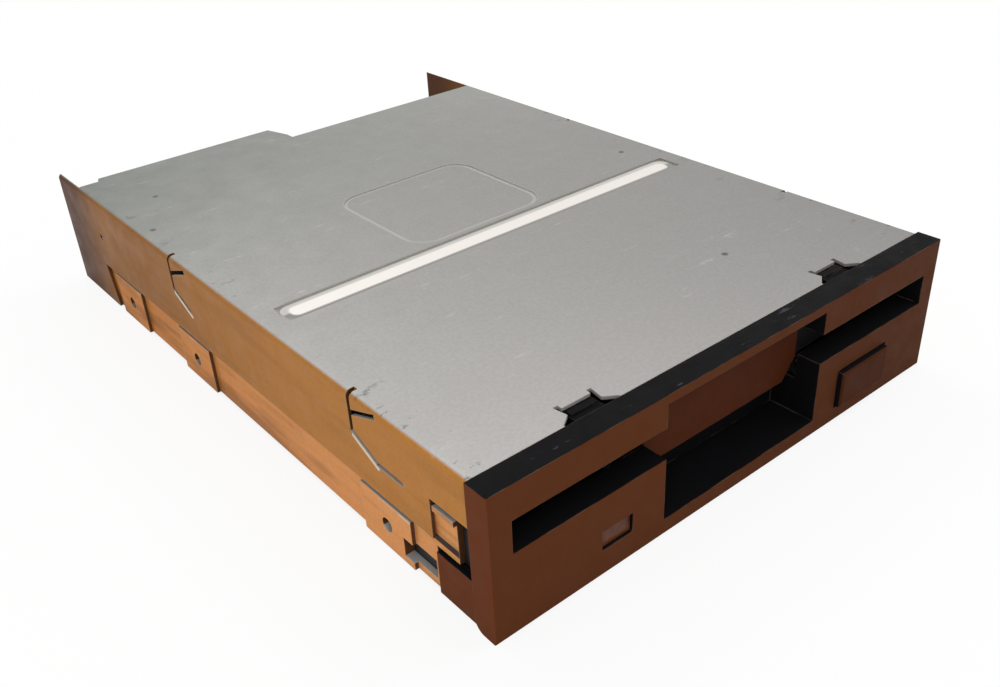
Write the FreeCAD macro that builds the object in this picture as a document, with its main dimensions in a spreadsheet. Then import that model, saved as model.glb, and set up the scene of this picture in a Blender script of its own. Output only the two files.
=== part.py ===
import FreeCAD, Part
import math
import os
import re
import Sketcher

# Bay-mount 3.5-inch floppy disk drive with its bezel, sheet-metal cover and working parts.
# Millimetres. X runs to the right seen from the front, Z runs up from the bezel's lower edge.
# In the sketches and blocks Y is measured back from the bezel's front face; each sub-part's
# Placement then moves the origin to the middle of the drive's length.

os.makedirs("parts", exist_ok=True)
doc = FreeCAD.newDocument("FloppyDrive")
sheet = doc.addObject("Spreadsheet::Sheet", "Sizes")

# Driving dimensions: alias, value, meaning
sizes = [
    ("bezel_width", 101.6, "bezel across the bay"),
    ("bezel_height", 25.4, "bezel height, the same as the body"),
    ("bezel_depth", 4.4, "thickness of the bezel plate"),
    ("bezel_corner", 2.0, "rounding of the bezel's lower rear edge"),
    ("drive_length", 150.0, "bezel face to the ends of the rear ears"),
    ("bezel_lip", 0.3, "how far the bezel stands out past the cover on each side"),
    ("side_room", 5.5, "cover, wall, slider and holder between the disk and the drive's side"),
    ("cover_sheet", 0.6, "thickness of the cover sheet"),
    ("cover_bend", 1.0, "outer radius of the cover's bends"),
    ("frame_sheet", 1.0, "thickness of the chassis sheet"),
    ("slide_sheet", 0.7, "thickness of the disk holder and the eject slider"),
    ("slip_gap", 0.1, "gap between fixed pieces that slip together"),
    ("move_gap", 0.35, "gap between pieces that move past each other"),
    ("pin_gap", 0.05, "radial clearance of pins in their holes"),
    ("slide_gap", 0.08, "clearance of pins in the slots that guide them"),
    ("flange_bottom", 10.2, "lower edge of the cover's side flange"),
    ("ear_start", 131.0, "where the cover's rear ears begin"),
    ("ear_bottom", 0.3, "lower edge of the rear ears"),
    ("top_end", 140.5, "rear edge of the cover's long tab"),
    ("top_end_left", 138.8, "rear edge of the cover beside the tab"),
    ("top_end_short", 131.9, "rear edge of the cover on the right"),
    ("tab_left", 45.7, "distance of the tab's left side from the middle"),
    ("tab_right", 3.8, "distance of the tab's right side from the middle"),
    ("groove_y", 58.5, "middle of the pressed channel across the cover"),
    ("groove_inset", 4.5, "end of the pressed channel to the cover's side"),
    ("groove_width", 5.6, "width of the pressed channel"),
    ("press_depth", 0.35, "depth of the pressed channel"),
    ("panel_half", 15.5, "half width of the pressed panel"),
    ("panel_front", 62.6, "front edge of the pressed panel"),
    ("panel_length", 29.0, "length of the pressed panel"),
    ("panel_corner", 5.0, "corner radius of the pressed panel"),
    ("panel_depth", 0.2, "depth of the pressed panel"),
    ("latch_inset", 22.4, "bezel tongues to the bezel's end"),
    ("latch_mouth", 10.4, "width of the cover's notch at its mouth"),
    ("latch_neck", 6.4, "width of the cover's notch behind the mouth"),
    ("latch_mouth_depth", 1.7, "depth of the notch's wide part"),
    ("latch_depth", 3.4, "depth of the whole notch"),
    ("front_relief_end", 13.2, "rear end of the notch in the flange by the bezel"),
    ("front_relief_top", 17.4, "top of the notch in the flange by the bezel"),
    ("slit_width", 0.9, "width of the spring-finger slits in the flange"),
    ("slit_front_y", 31.9, "front spring finger"),
    ("slit_rear_y", 93.0, "rear spring finger"),
    ("nick_depth", 1.0, "how far a slit reaches in from the cover's side"),
    ("slot_bottom", 14.2, "lower edge of the disk slot"),
    ("slot_top", 19.7, "upper edge of the disk slot"),
    ("slot_room", 2.0, "room beside the disk in the disk slot"),
    ("ramp_top", 23.8, "upper edge of the ramp over the slot's middle"),
    ("thumb_half", 18.2, "half width of the thumb recess and the ramp"),
    ("thumb_bottom", 2.9, "floor of the thumb recess"),
    ("thumb_depth", 8.8, "depth of the thumb recess"),
    ("moulding", 1.1, "wall thickness of the plastic mouldings"),
    ("led_inset", 22.85, "middle of the activity light to the bezel's left end"),
    ("led_z", 6.4, "height of the activity light"),
    ("led_width", 6.1, "width of the light's window"),
    ("led_height", 3.4, "height of the light's window"),
    ("led_recess", 0.5, "how far the light's lens is set back"),
    ("button_inset", 20.0, "middle of the eject button to the bezel's right end"),
    ("button_z", 6.5, "height of the eject button"),
    ("button_width", 13.0, "width of the eject button"),
    ("button_height", 6.8, "height of the button's face"),
    ("button_proud", 1.0, "how far the button stands out at rest"),
    ("eject_travel", 5.5, "travel of the eject slider"),
    ("holder_drop", 2.4, "drop of the disk holder"),
    ("frame_bottom", 0.3, "lower edge of the chassis side walls"),
    ("frame_top", 19.0, "upper edge of the chassis side walls"),
    ("frame_front", 10.8, "front edge of the chassis base"),
    ("frame_end", 126.0, "rear edge of the chassis base"),
    ("wall_end", 138.6, "rear end of the chassis side walls"),
    ("base_z", 5.2, "underside of the chassis base"),
    ("pad_length", 13.0, "length of the raised pads round the side holes"),
    ("hole_z", 4.8, "height of the side mounting holes"),
    ("hole_y_one", 25.4, "first side mounting hole"),
    ("hole_y_two", 89.4, "second side mounting hole"),
    ("hole_y_three", 120.4, "third side mounting hole"),
    ("screw_hole", 1.25, "radius of the threaded mounting holes"),
    ("foot_inset", 5.1, "bottom mounting holes to the cover's side"),
    ("foot_y_one", 34.0, "first pair of bottom mounting holes"),
    ("foot_y_two", 104.0, "second pair of bottom mounting holes"),
    ("disk_length", 94.0, "disk shell from edge to edge"),
    ("disk_thick", 3.3, "disk shell thickness"),
    ("disk_play", 0.5, "room round the disk in its holder"),
    ("disk_lift", 1.0, "height of the raised disk over the slot's lower edge"),
    ("disk_stop", 96.0, "depth at which the disk stops"),
    ("holder_front", 15.2, "front edge of the disk holder"),
    ("holder_end", 104.5, "rear edge of the disk holder"),
    ("holder_lip", 4.2, "width of the holder's lower lips"),
    ("guide_front", 26.0, "front pair of lift pins"),
    ("guide_rear", 86.0, "rear pair of lift pins"),
    ("guide_z", 16.4, "height of the raised lift pins"),
    ("guide_radius", 1.1, "radius of the lift pins"),
    ("spindle_y", 50.0, "spindle behind the bezel face"),
    ("shaft_radius", 2.0, "radius of the spindle shaft"),
    ("shaft_tip", 14.4, "top of the spindle shaft"),
    ("rotor_radius", 19.5, "radius of the rotor cup"),
    ("rotor_top", 11.7, "top face of the rotor cup"),
    ("rotor_height", 4.1, "height of the rotor cup"),
    ("rotor_sheet", 0.8, "thickness of the rotor cup"),
    ("magnet_wall", 1.4, "thickness of the rotor magnet"),
    ("hub_radius", 12.2, "radius of the disk seat on the rotor"),
    ("hub_height", 1.1, "height of the disk seat on the rotor"),
    ("pin_circle", 10.3, "drive pin to the spindle"),
    ("pin_radius", 1.1, "radius of the drive pin"),
    ("motor_board", 1.0, "thickness of the motor's steel board"),
    ("main_board", 1.2, "thickness of the main board"),
    ("main_board_z", 3.6, "underside of the main board"),
    ("main_board_front", 92.0, "front edge of the main board"),
    ("main_board_end", 139.2, "rear edge of the main board"),
    ("board_inset", 3.8, "main board's side edge inside the disk's"),
    ("head_y", 89.5, "head at the outermost track"),
    ("head_travel", 14.8, "travel of the heads over all tracks"),
    ("head_plane", 14.4, "face of the lower head"),
    ("arm_pivot", 24.0, "arm pivot behind the head"),
    ("rod_radius", 1.5, "radius of the guide rods"),
    ("rod_x", 10.5, "guide rods to the middle"),
    ("rod_z", 9.6, "height of the guide rods and the lead screw"),
    ("rod_front", 74.4, "front end of the guide rods"),
    ("rod_end", 123.6, "rear end of the guide rods"),
    ("screw_x", -22.5, "lead screw to the middle"),
    ("screw_radius", 1.5, "radius of the lead screw"),
    ("screw_lead", 3.75, "advance of the lead screw in a turn"),
    ("stepper_radius", 6.4, "radius of the stepper's case"),
    ("stepper_front", 108.6, "front face of the stepper"),
    ("stepper_length", 13.0, "length of the stepper's case"),
    ("hinge_y", 6.0, "hinge of the dust door"),
    ("hinge_z", 21.6, "height of the dust door's hinge"),
    ("door_sheet", 1.2, "thickness of the dust door"),
    ("door_pin", 0.6, "radius of the dust door's hinge pins"),
    ("door_bottom", 14.6, "lower edge of the dust door's wings"),
    ("door_middle", 10.0, "lower edge of the dust door's middle"),
    ("switch_board_z", 8.0, "underside of the switch boards"),
    ("switch_y", 12.2, "row of disk sensing plungers"),
    ("plunger_top", 14.5, "top of a free plunger"),
    ("plunger_travel", 1.7, "travel of a plunger"),
    ("plug_x", -15.5, "middle of the data connector"),
    ("plug_pitch", 2.54, "pitch of the data pins"),
    ("power_x", 28.0, "middle of the power connector"),
    ("power_pitch", 2.5, "pitch of the power pins"),
    ("lever_inset", 9.0, "pivot of the shutter lever inside the disk's edge"),
    ("lever_y", 96.5, "pivot of the shutter lever behind the bezel"),
    ("lever_reach_x", 12.0, "lever pin to the pivot across the drive"),
    ("lever_reach_y", 20.5, "lever pin in front of the pivot"),
    ("lever_pin", 1.0, "radius of the lever's pin"),
    ("post_radius", 1.5, "radius of the lever's post"),
    ("arm_pin", 0.8, "radius of the head arm's hinge pin"),
    ("arm_z", 19.0, "height of the head arm's hinge"),
    ("coil_wire", 0.35, "wire diameter of the torsion springs"),
    ("spring_wire", 0.45, "wire diameter of the eject springs"),
    ("spring_radius", 1.35, "middle radius of the eject springs"),
    ("spring_z", 9.3, "height of the eject springs"),
    ("spring_inset", 1.4, "eject springs inside the disk's edge"),
    ("switch_inset", 6.3, "outer sensing plungers inside the disk's edge"),
    ("switch_pitch", 7.6, "the two left sensing plungers apart"),
    ("spring_leg", 0.8, "offset of the eject springs' straight ends"),
    ("spring_front", 25.6, "front hook of the eject springs"),
    ("spring_rear", 51.6, "rear hook of the eject springs"),
]
for row, (alias, value, meaning) in enumerate(sizes, start=1):
    sheet.set(f"A{row}", alias)
    sheet.set(f"B{row}", str(value))
    sheet.setAlias(f"B{row}", alias)
    sheet.set(f"C{row}", meaning)
doc.recompute()

# Sizes that follow from the driving ones
derived = {
    "body_width": "bezel_width - 2 * bezel_lip",
    "disk_width": "body_width - 2 * side_room",
    "slot_half": "disk_width / 2 + slot_room",
    "groove_half": "body_width / 2 - groove_inset",
    "latch_x": "bezel_width / 2 - latch_inset",
    "led_x": "led_inset - bezel_width / 2",
    "button_x": "bezel_width / 2 - button_inset",
    "foot_hole_x": "body_width / 2 - foot_inset",
    "main_board_half": "disk_width / 2 - board_inset",
    "lever_x": "lever_inset - disk_width / 2",
    "spring_x": "disk_width / 2 - spring_inset",
    "switch_x": "disk_width / 2 - switch_inset",
}
aliases = {alias for alias, value, meaning in sizes}
word = re.compile(r"[a-z][a-z_]*")
nodes = []


def spelled(expression, driving):
    def swap(match):
        name = match[0]
        if name in derived:
            return f"({spelled(derived[name], driving)})"
        return driving(name) if name in aliases else name

    return word.sub(swap, expression)


def linked(expression):
    return spelled(expression, lambda name: "Sizes." + name)


def number(expression):
    values = spelled(expression, lambda name: f"({getattr(sheet, name)})")
    return FreeCAD.Units.parseQuantity(values).Value


def tie(thing, **properties):
    for name, expression in properties.items():
        thing.setExpression(name.replace("__", "."), linked(expression))


def place(thing, x, y, z):
    tie(thing, Placement__Base__x=x, Placement__Base__y=y, Placement__Base__z=z)


def both(half):
    return (f"-({half})", half)


def span(middle, size):
    return (f"({middle}) - ({size}) / 2", f"({middle}) + ({size}) / 2")


def sized_block(thing, x, y, z):
    tie(thing, Length=f"({x[1]}) - ({x[0]})")
    tie(thing, Width=f"({y[1]}) - ({y[0]})")
    tie(thing, Height=f"({z[1]}) - ({z[0]})")
    place(thing, x[0], y[0], z[0])
    return thing


def sized_round(thing, axis, radius, x, y, z):
    along = {"x": x, "y": y, "z": z}[axis]
    tie(thing, Radius=radius, Height=f"({along[1]}) - ({along[0]})")
    turn = {"x": ((0, 1, 0), 90), "y": ((1, 0, 0), -90), "z": ((0, 0, 1), 0)}[axis]
    thing.Placement = FreeCAD.Placement(
        FreeCAD.Vector(), FreeCAD.Rotation(FreeCAD.Vector(*turn[0]), turn[1])
    )
    start = [c[0] if isinstance(c, tuple) else c for c in (x, y, z)]
    place(thing, *start)
    return thing


def block(x, y, z):
    return sized_block(doc.addObject("Part::Box", "Block"), x, y, z)


def rod(axis, radius, x, y, z):
    return sized_round(doc.addObject("Part::Cylinder", "Rod"), axis, radius, x, y, z)


def fuse(*pieces):
    if len(pieces) == 1:
        return pieces[0]
    joined = doc.addObject("Part::MultiFuse", "Joined")
    joined.Shapes = list(pieces)
    joined.Refine = True
    return joined


def cut(base, *tools):
    trimmed = doc.addObject("Part::Cut", "Trimmed")
    trimmed.Base = base
    trimmed.Tool = fuse(*tools)
    return trimmed


def name_node(node, thing):
    thing.Label = node
    tie(thing, Placement__Base__y=f"-{middle_y}")
    nodes.append(thing)
    return thing


def set_node(node, *pieces):
    gathered = doc.addObject("Part::Compound", "Set")
    gathered.Links = list(pieces)
    return name_node(node, gathered)


def new_body(node):
    body = doc.addObject("PartDesign::Body", "Body")
    name_node(node, body)
    return body


def plain(feature):
    # Coplanar faces are merged once, by the body's last feature
    feature.Refine = False
    return feature


def add_box(body, x, y, z):
    return sized_block(plain(body.newObject("PartDesign::AdditiveBox", "Added")), x, y, z)


def cut_box(body, x, y, z):
    return sized_block(plain(body.newObject("PartDesign::SubtractiveBox", "Removed")), x, y, z)


def add_round(body, axis, radius, x, y, z):
    thing = plain(body.newObject("PartDesign::AdditiveCylinder", "AddedRound"))
    return sized_round(thing, axis, radius, x, y, z)


def cut_round(body, axis, radius, x, y, z):
    thing = plain(body.newObject("PartDesign::SubtractiveCylinder", "RemovedRound"))
    return sized_round(thing, axis, radius, x, y, z)


def new_sketch(body, role, offset="0"):
    sketch = body.newObject("Sketcher::SketchObject", "Sketch")
    plane = next(p for p in body.Origin.OriginFeatures if p.Role == role)
    sketch.AttachmentSupport = [(plane, "")]
    sketch.MapMode = "FlatFace"
    tie(sketch, AttachmentOffset__Base__z=offset)
    return sketch


def hold(sketch, kind, first, *rest):
    expression = rest[-1]
    index = sketch.addConstraint(Sketcher.Constraint(kind, first, *rest[:-1], number(expression)))
    sketch.setExpression(f"Constraints[{index}]", linked(expression))


def outline(sketch, points):
    places = [FreeCAD.Vector(number(u), number(v), 0) for u, v in points]
    first = sketch.GeometryCount
    for start, end in zip(places, places[1:] + places[:1]):
        sketch.addGeometry(Part.LineSegment(start, end), False)
    count = len(points)
    for i in range(count):
        following = first + (i + 1) % count
        sketch.addConstraint(Sketcher.Constraint("Coincident", first + i, 2, following, 1))
    for i, (u, v) in enumerate(points):
        for kind, expression in (("DistanceX", u), ("DistanceY", v)):
            hold(sketch, kind, -1, 1, first + i, 1, expression)


def circle(sketch, u, v, radius):
    middle = FreeCAD.Vector(number(u), number(v), 0)
    index = sketch.addGeometry(
        Part.Circle(middle, FreeCAD.Vector(0, 0, 1), number(radius)), False
    )
    hold(sketch, "Radius", index, radius)
    for kind, expression in (("DistanceX", u), ("DistanceY", v)):
        hold(sketch, kind, -1, 1, index, 3, expression)


def rectangle(sketch, u, v):
    outline(sketch, [(u[0], v[0]), (u[1], v[0]), (u[1], v[1]), (u[0], v[1])])


def strip_points(start, end, width):
    # A band of the given width between two points, square at its ends
    a = FreeCAD.Vector(number(start[0]), number(start[1]), 0)
    b = FreeCAD.Vector(number(end[0]), number(end[1]), 0)
    along = (b - a).normalize()
    corners = []
    for (u, v), side in ((start, 1), (end, 1), (end, -1), (start, -1)):
        du = f"({u}) + {-along.y * side / 2:.6f} * ({width})"
        dv = f"({v}) + {along.x * side / 2:.6f} * ({width})"
        corners.append((du, dv))
    return corners


def pad(body, sketch, length, backwards=False):
    feature = body.newObject("PartDesign::Pad", "Pad")
    feature.Profile = sketch
    feature.Reversed = backwards
    tie(feature, Length=length)
    return feature


def pocket(body, sketch, length, backwards=False, middle=False):
    doc.recompute()
    before = body.Shape.Volume
    feature = body.newObject("PartDesign::Pocket", "Pocket")
    feature.Profile = sketch
    feature.Reversed = backwards
    feature.Midplane = middle
    tie(feature, Length=length)
    doc.recompute()
    if not feature.Shape.Volume < before - 1e-4:
        raise RuntimeError(f"a pocket of {body.Label} cuts nothing")
    return feature


def round_edges(body, radius, chosen):
    doc.recompute()
    tip = body.Tip
    names = [f"Edge{i}" for i, edge in enumerate(tip.Shape.Edges, start=1) if chosen(edge)]
    if not names:
        raise RuntimeError(f"no edge of {body.Label} is rounded")
    feature = body.newObject("PartDesign::Fillet", "Fillet")
    feature.Base = (tip, names)
    tie(feature, Radius=radius)
    return feature


def runs(edge, axis):
    ends = [v.Point for v in edge.Vertexes]
    if len(ends) < 2:
        return False
    step = ends[1] - ends[0]
    return abs(step[axis]) > 0.999 * step.Length and edge.Curve.TypeId == "Part::GeomLine"


def near(value, target):
    return abs(value - target) < 0.01


# Shared faces, worked out once from the driving dimensions
middle_y = "(drive_length / 2 - button_proud / 2)"
half_width = "(body_width / 2)"
cover_inside = f"({half_width} - cover_sheet)"
cover_under = "(bezel_height - cover_sheet)"
wall_outside = f"({cover_inside} - slip_gap)"
wall_inside = f"({wall_outside} - frame_sheet)"
base_top = "(base_z + frame_sheet)"
disk_z = "(slot_bottom + disk_lift)"
holder_inside = "(disk_width / 2 + disk_play)"
holder_outside = f"({holder_inside} + slide_sheet)"
holder_floor = f"({disk_z} - 0.4 * disk_play)"
holder_roof = f"({disk_z} + disk_thick + disk_play)"
slider_inside = f"({holder_outside} + move_gap)"
slider_outside = f"({slider_inside} + slide_sheet)"
slider_z = f"({base_top} + 0.3)"
slider_top = f"({slider_z} + slide_sheet)"
behind_bezel = "(bezel_depth + slip_gap / 2)"
far = "200"
board_screws = [("-main_board_half + 5", "main_board_front + 4"), ("main_board_half - 5", "main_board_front + 4"),
                ("-main_board_half + 5", "frame_end - 4"), ("main_board_half - 5", "frame_end - 4")]

motor_screws = [("-23.4", "spindle_y - rotor_radius - 0.6"), ("27.4", "spindle_y - rotor_radius - 0.6"), ("-23.4", "66.4")]
stepper_screws = [("screw_x - stepper_radius - 3", "stepper_front - 3.4"),
                  ("screw_x + stepper_radius - 2", "stepper_front - 3.4")]
flex_x = ("13", "21")
motor_board_end = "(spindle_y + rotor_radius + 0.5)"


def right(x):
    return x


def left(x):
    return (f"-({x[1]})", f"-({x[0]})")


def front_bezel():
    body = new_body("front_bezel")
    face = new_sketch(body, "XZ_Plane")
    rectangle(face, both("bezel_width / 2"), ("0", "bezel_height"))
    pad(body, face, "bezel_depth", backwards=True)
    depth = number("bezel_depth")
    round_edges(body, "bezel_corner", lambda e: runs(e, 0) and near(e.Vertexes[0].Z, 0)
                and near(e.Vertexes[0].Y, depth))
    round_edges(body, "0.3", lambda e: not runs(e, 1) and near(e.BoundBox.YMax, 0)
                and not near(e.BoundBox.ZMin, number("bezel_height")))
    windows = new_sketch(body, "XZ_Plane")
    rectangle(windows, both("slot_half"), ("slot_bottom", "slot_top"))
    rectangle(windows, span("led_x", "led_width"), span("led_z", "led_height"))
    rectangle(windows, span("button_x", "button_width + 2 * move_gap"),
              span("button_z", "button_height + 2 * move_gap"))
    pocket(body, windows, "bezel_depth", backwards=False)
    thumb = new_sketch(body, "XZ_Plane")
    rectangle(thumb, both("thumb_half"), ("thumb_bottom", "slot_bottom + 0.5"))
    pocket(body, thumb, "bezel_depth")
    ramp = new_sketch(body, "YZ_Plane")
    outline(ramp, [("-1", "ramp_top + (ramp_top - slot_top) / bezel_depth"), ("-1", "slot_top - 1"),
                   ("bezel_depth", "slot_top - 1"), ("bezel_depth", "slot_top")])
    pocket(body, ramp, "2 * thumb_half", middle=True)
    # Tray behind the thumb recess, open at the top for the dust door
    tray_back = "(thumb_depth + moulding)"
    tray_side = "(thumb_half + moulding)"
    tray_top = "(door_middle - 0.5)"
    add_box(body, both(tray_side), ("bezel_depth - 0.2", tray_back), ("thumb_bottom - moulding", "thumb_bottom"))
    add_box(body, both(tray_side), ("thumb_depth", tray_back), ("thumb_bottom - moulding", tray_top))
    for side in (left, right):
        add_box(body, side(("thumb_half", tray_side)), ("bezel_depth - 0.2", tray_back), ("thumb_bottom - moulding", tray_top))
        # Lug that carries the dust door's hinge pin and closes the end of the slot
        lug = side(("slot_half + 0.4", "slot_half + 0.4 + moulding"))
        add_box(body, lug, ("bezel_depth - 0.2", "hinge_y + 2"), ("slot_bottom - 4", "hinge_z + 2"))
        cut_round(body, "x", "door_pin + pin_gap", lug, "hinge_y", "hinge_z")
        # Side arm that clips to the chassis
        add_box(body, side((f"{half_width} - 1.3", f"{half_width} - 0.1")), ("bezel_depth - 0.2", "front_relief_end - 0.4"), ("frame_bottom", "8"))
        # Tongue that snaps under the cover, with the bump that fills its notch
        add_box(body, side(span("latch_x", "latch_neck - 0.8")), ("bezel_depth - 0.2", "bezel_depth + latch_depth + 1.4"),
                (f"{cover_under} - slip_gap - 1.2", f"{cover_under} - slip_gap"))
        add_box(body, side(span("latch_x", "latch_neck - 1.4")),
                ("bezel_depth + latch_mouth_depth", "bezel_depth + latch_depth - 0.5"),
                (f"{cover_under} - slip_gap - 0.2", "bezel_height - 0.35"))


def top_cover():
    body = new_body("top_cover")
    section = new_sketch(body, "XZ_Plane", f"-{behind_bezel}")
    outline(section, [
        (f"-{half_width}", "ear_bottom"), (f"-{half_width}", "bezel_height"),
        (half_width, "bezel_height"), (half_width, "ear_bottom"),
        (cover_inside, "ear_bottom"), (cover_inside, cover_under),
        (f"-{cover_inside}", cover_under), (f"-{cover_inside}", "ear_bottom"),
    ])
    pad(body, section, f"drive_length - {behind_bezel}", backwards=True)
    top = number("bezel_height")
    under = number(cover_under)
    width = number(half_width)
    inside = number(cover_inside)
    round_edges(body, "cover_bend", lambda e: runs(e, 1) and near(e.Vertexes[0].Z, top)
                and near(abs(e.Vertexes[0].X), width))
    round_edges(body, "cover_bend - cover_sheet", lambda e: runs(e, 1) and near(e.Vertexes[0].Z, under)
                and near(abs(e.Vertexes[0].X), inside))
    flange = new_sketch(body, "YZ_Plane")
    outline(flange, [
        ("0", "-1"), ("0", "front_relief_top"), ("front_relief_end", "front_relief_top"),
        ("front_relief_end", "flange_bottom"), ("ear_start + 1.3", "flange_bottom - 0.4"),
        ("ear_start - 1.4", "-1"),
    ])
    pocket(body, flange, far, middle=True)
    rear = new_sketch(body, "XY_Plane", f"{cover_under} - 2")
    outline(rear, [
        (f"-{cover_inside}", "top_end_left"), ("-tab_left", "top_end_left"),
        ("-tab_left + 0.6", "top_end"), ("-tab_right", "top_end"),
        ("-tab_right + 1.8", "top_end_short + 2.4"), ("-tab_right + 1.8", "top_end_short"),
        (cover_inside, "top_end_short"), (cover_inside, "drive_length + 5"),
        (f"-{cover_inside}", "drive_length + 5"),
    ])
    pocket(body, rear, "cover_sheet + 4", backwards=True)
    notches = new_sketch(body, "XY_Plane", f"{cover_under} - 2")
    for side in ("-", ""):
        middle = f"{side}latch_x"
        right = [
            ("latch_mouth / 2", "0"), ("latch_mouth / 2", "0.3"), ("latch_neck / 2", "latch_mouth_depth"),
            ("latch_neck / 2 + 0.4", "latch_depth + 0.9"), ("latch_neck / 2 - 0.5", "latch_depth + 0.9"),
            ("latch_neck / 2 - 0.5", "latch_depth"),
        ]
        corners = [(f"{middle} + {u}", f"{behind_bezel} + {v}") for u, v in right]
        corners += [(f"{middle} - ({u})", f"{behind_bezel} + {v}") for u, v in reversed(right)]
        corners[0] = (corners[0][0], "1")
        corners[-1] = (corners[-1][0], "1")
        outline(notches, corners)
    pocket(body, notches, "cover_sheet + 4", backwards=True)
    # Spring fingers slit out of both flanges, and the nick that each leaves in the top edge
    nick = f"({cover_inside} - nick_depth)"
    for finger in ("slit_front_y", "slit_rear_y"):
        slits = [
            ((finger, "bezel_height + 1"), (finger, "bezel_height - 7")),
            ((f"{finger} + 0.2", "bezel_height - 6.6"), (f"{finger} - 6.1", "bezel_height - 9.4")),
            ((f"{finger} - 0.2", "bezel_height - 3.4"), (f"{finger} - 6.8", "bezel_height - cover_bend")),
        ]
        if finger == "slit_front_y":
            slits.append(((f"{finger} - 5.8", "bezel_height - 9.45"), (f"{finger} - 12.4", "bezel_height - 9.6")))
        for start, end in slits:
            for place, outward in ((nick, True), (f"-{nick}", False)):
                slit = new_sketch(body, "YZ_Plane", place)
                outline(slit, strip_points(start, end, "slit_width"))
                pocket(body, slit, "nick_depth + 2", backwards=outward)
    # Small round hole in each ear
    cut_round(body, "x", "0.7", both(far), "ear_start - 0.8", "16.7")
    # Pressed channel across the cover and the shallow panel behind it
    channel = (both("groove_half"), span("groove_y", "groove_width"))
    panel = (both("panel_half"), ("panel_front", "panel_front + panel_length"))
    for area, depth in ((channel, "press_depth"), (panel, "panel_depth")):
        add_box(body, *area, (f"{cover_under} - {depth}", f"{cover_under} + 0.01"))
        cut_box(body, *area, (f"bezel_height - {depth}", "bezel_height + 1"))
    doc.recompute()
    round_edges(body, "panel_corner", lambda e: runs(e, 2) and e.Length < 0.3
                and near(abs(e.Vertexes[0].X), number("panel_half")) and e.BoundBox.ZMax > number(cover_under))


def chassis_frame():
    wall = (wall_inside, wall_outside)
    base_y = ("front_relief_end + 0.2", "frame_end")
    metal = [
        block(both(wall_outside), base_y, ("base_z", base_top)),
        block(("-thumb_half - 5", "button_x - 5.5"), ("frame_front", "front_relief_end + 1"), ("base_z", base_top)),
    ]
    holes = [
        rod("z", "rotor_radius - 1.5", "0", "spindle_y", ("base_z - 1", "base_z + 3")),
        block(both("rod_x - 3"), ("rod_front + 6", "rod_end - 6"), ("base_z - 1", "base_z + 3")),
        block(span("screw_x", "2 * stepper_radius + 1"),
              ("stepper_front - 1", "stepper_front + stepper_length + 1"), ("base_z - 1", "base_z + 3")),
    ]
    for x, y in motor_screws + stepper_screws:
        holes.append(rod("z", "0.95", x, y, ("base_z - 1", "base_z + 3")))
    holes.append(block(flex_x, ("head_y - 2.6", "head_y - 0.9"), ("base_z - 1", "base_z + 3")))
    for side in (left, right):
        metal.append(block(side(wall), ("front_relief_end + 0.2", "wall_end"), ("frame_bottom", "frame_top")))
        # Ear with a bent lip that shows in the flange's front notch
        metal.append(block(side(wall), ("8.2", "front_relief_end + 1"), ("8.4", "15.4")))
        metal.append(block(side((wall_inside, f"{half_width} - 0.1")), ("8.2", "front_relief_end - 0.3"), ("15.3", "16.2")))
        through = side((f"{wall_inside} - 1", f"{half_width} + 1"))
        holes.append(block(through, ("front_relief_end + 0.8", "hole_y_one - 4.2"), ("frame_bottom + 1.3", "5.1")))
        # Raised pads round the side mounting holes, flush with the cover's flange
        for hole in ("hole_y_one", "hole_y_two", "hole_y_three"):
            metal.append(block(side((wall_inside, half_width)), span(hole, "pad_length"),
                               ("frame_bottom", "flange_bottom - 0.8")))
            holes.append(rod("x", "screw_hole", through, hole, "hole_z"))
        # Feet bent inwards at the bottom, with their mounting holes
        foot_x = side(("foot_hole_x", "foot_hole_x"))[0]
        for foot in ("foot_y_one", "foot_y_two"):
            metal.append(block(side(("foot_hole_x - 3.4", wall_outside)), span(foot, "9"),
                               ("frame_bottom", "frame_bottom + frame_sheet")))
            holes.append(rod("z", "screw_hole", foot_x, foot, ("frame_bottom - 1", "base_z + 3")))
        # Upright slots that guide the disk holder's lift pins
        for guide in ("guide_front", "guide_rear"):
            holes.append(block(through, span(guide, "2 * (guide_radius + slide_gap)"),
                               ("guide_z - holder_drop - guide_radius - move_gap", "guide_z + guide_radius + move_gap")))
        # Hook for the eject spring
        hook = side(("spring_x - frame_sheet / 2", "spring_x + frame_sheet / 2"))
        metal.append(block(hook, ("spring_front - 2.6", "spring_front"), ("base_z + 0.2", "spring_z + 2.2")))
        holes.append(rod("x", "spring_wire / 2 + 0.35", hook, "spring_front - 1.2", "spring_z + spring_leg"))
        # Posts that the lowered disk rests on
        post_x = side(("disk_width / 2 - 9", "disk_width / 2 - 9"))[0]
        for post_y in ("guide_front + 4", "guide_rear"):
            metal.append(rod("z", "1.5", post_x, post_y, ("base_z + 0.2", f"{disk_z} - holder_drop")))
    # Standoffs that the main board hangs from
    for x, y in board_screws:
        metal.append(rod("z", "2.6", x, y, ("main_board_z + main_board", "base_z + 0.2")))
        holes.append(rod("z", "0.95", x, y, ("main_board_z", "base_z + 3")))
    name_node("chassis_frame", cut(fuse(*metal), *holes))


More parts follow.
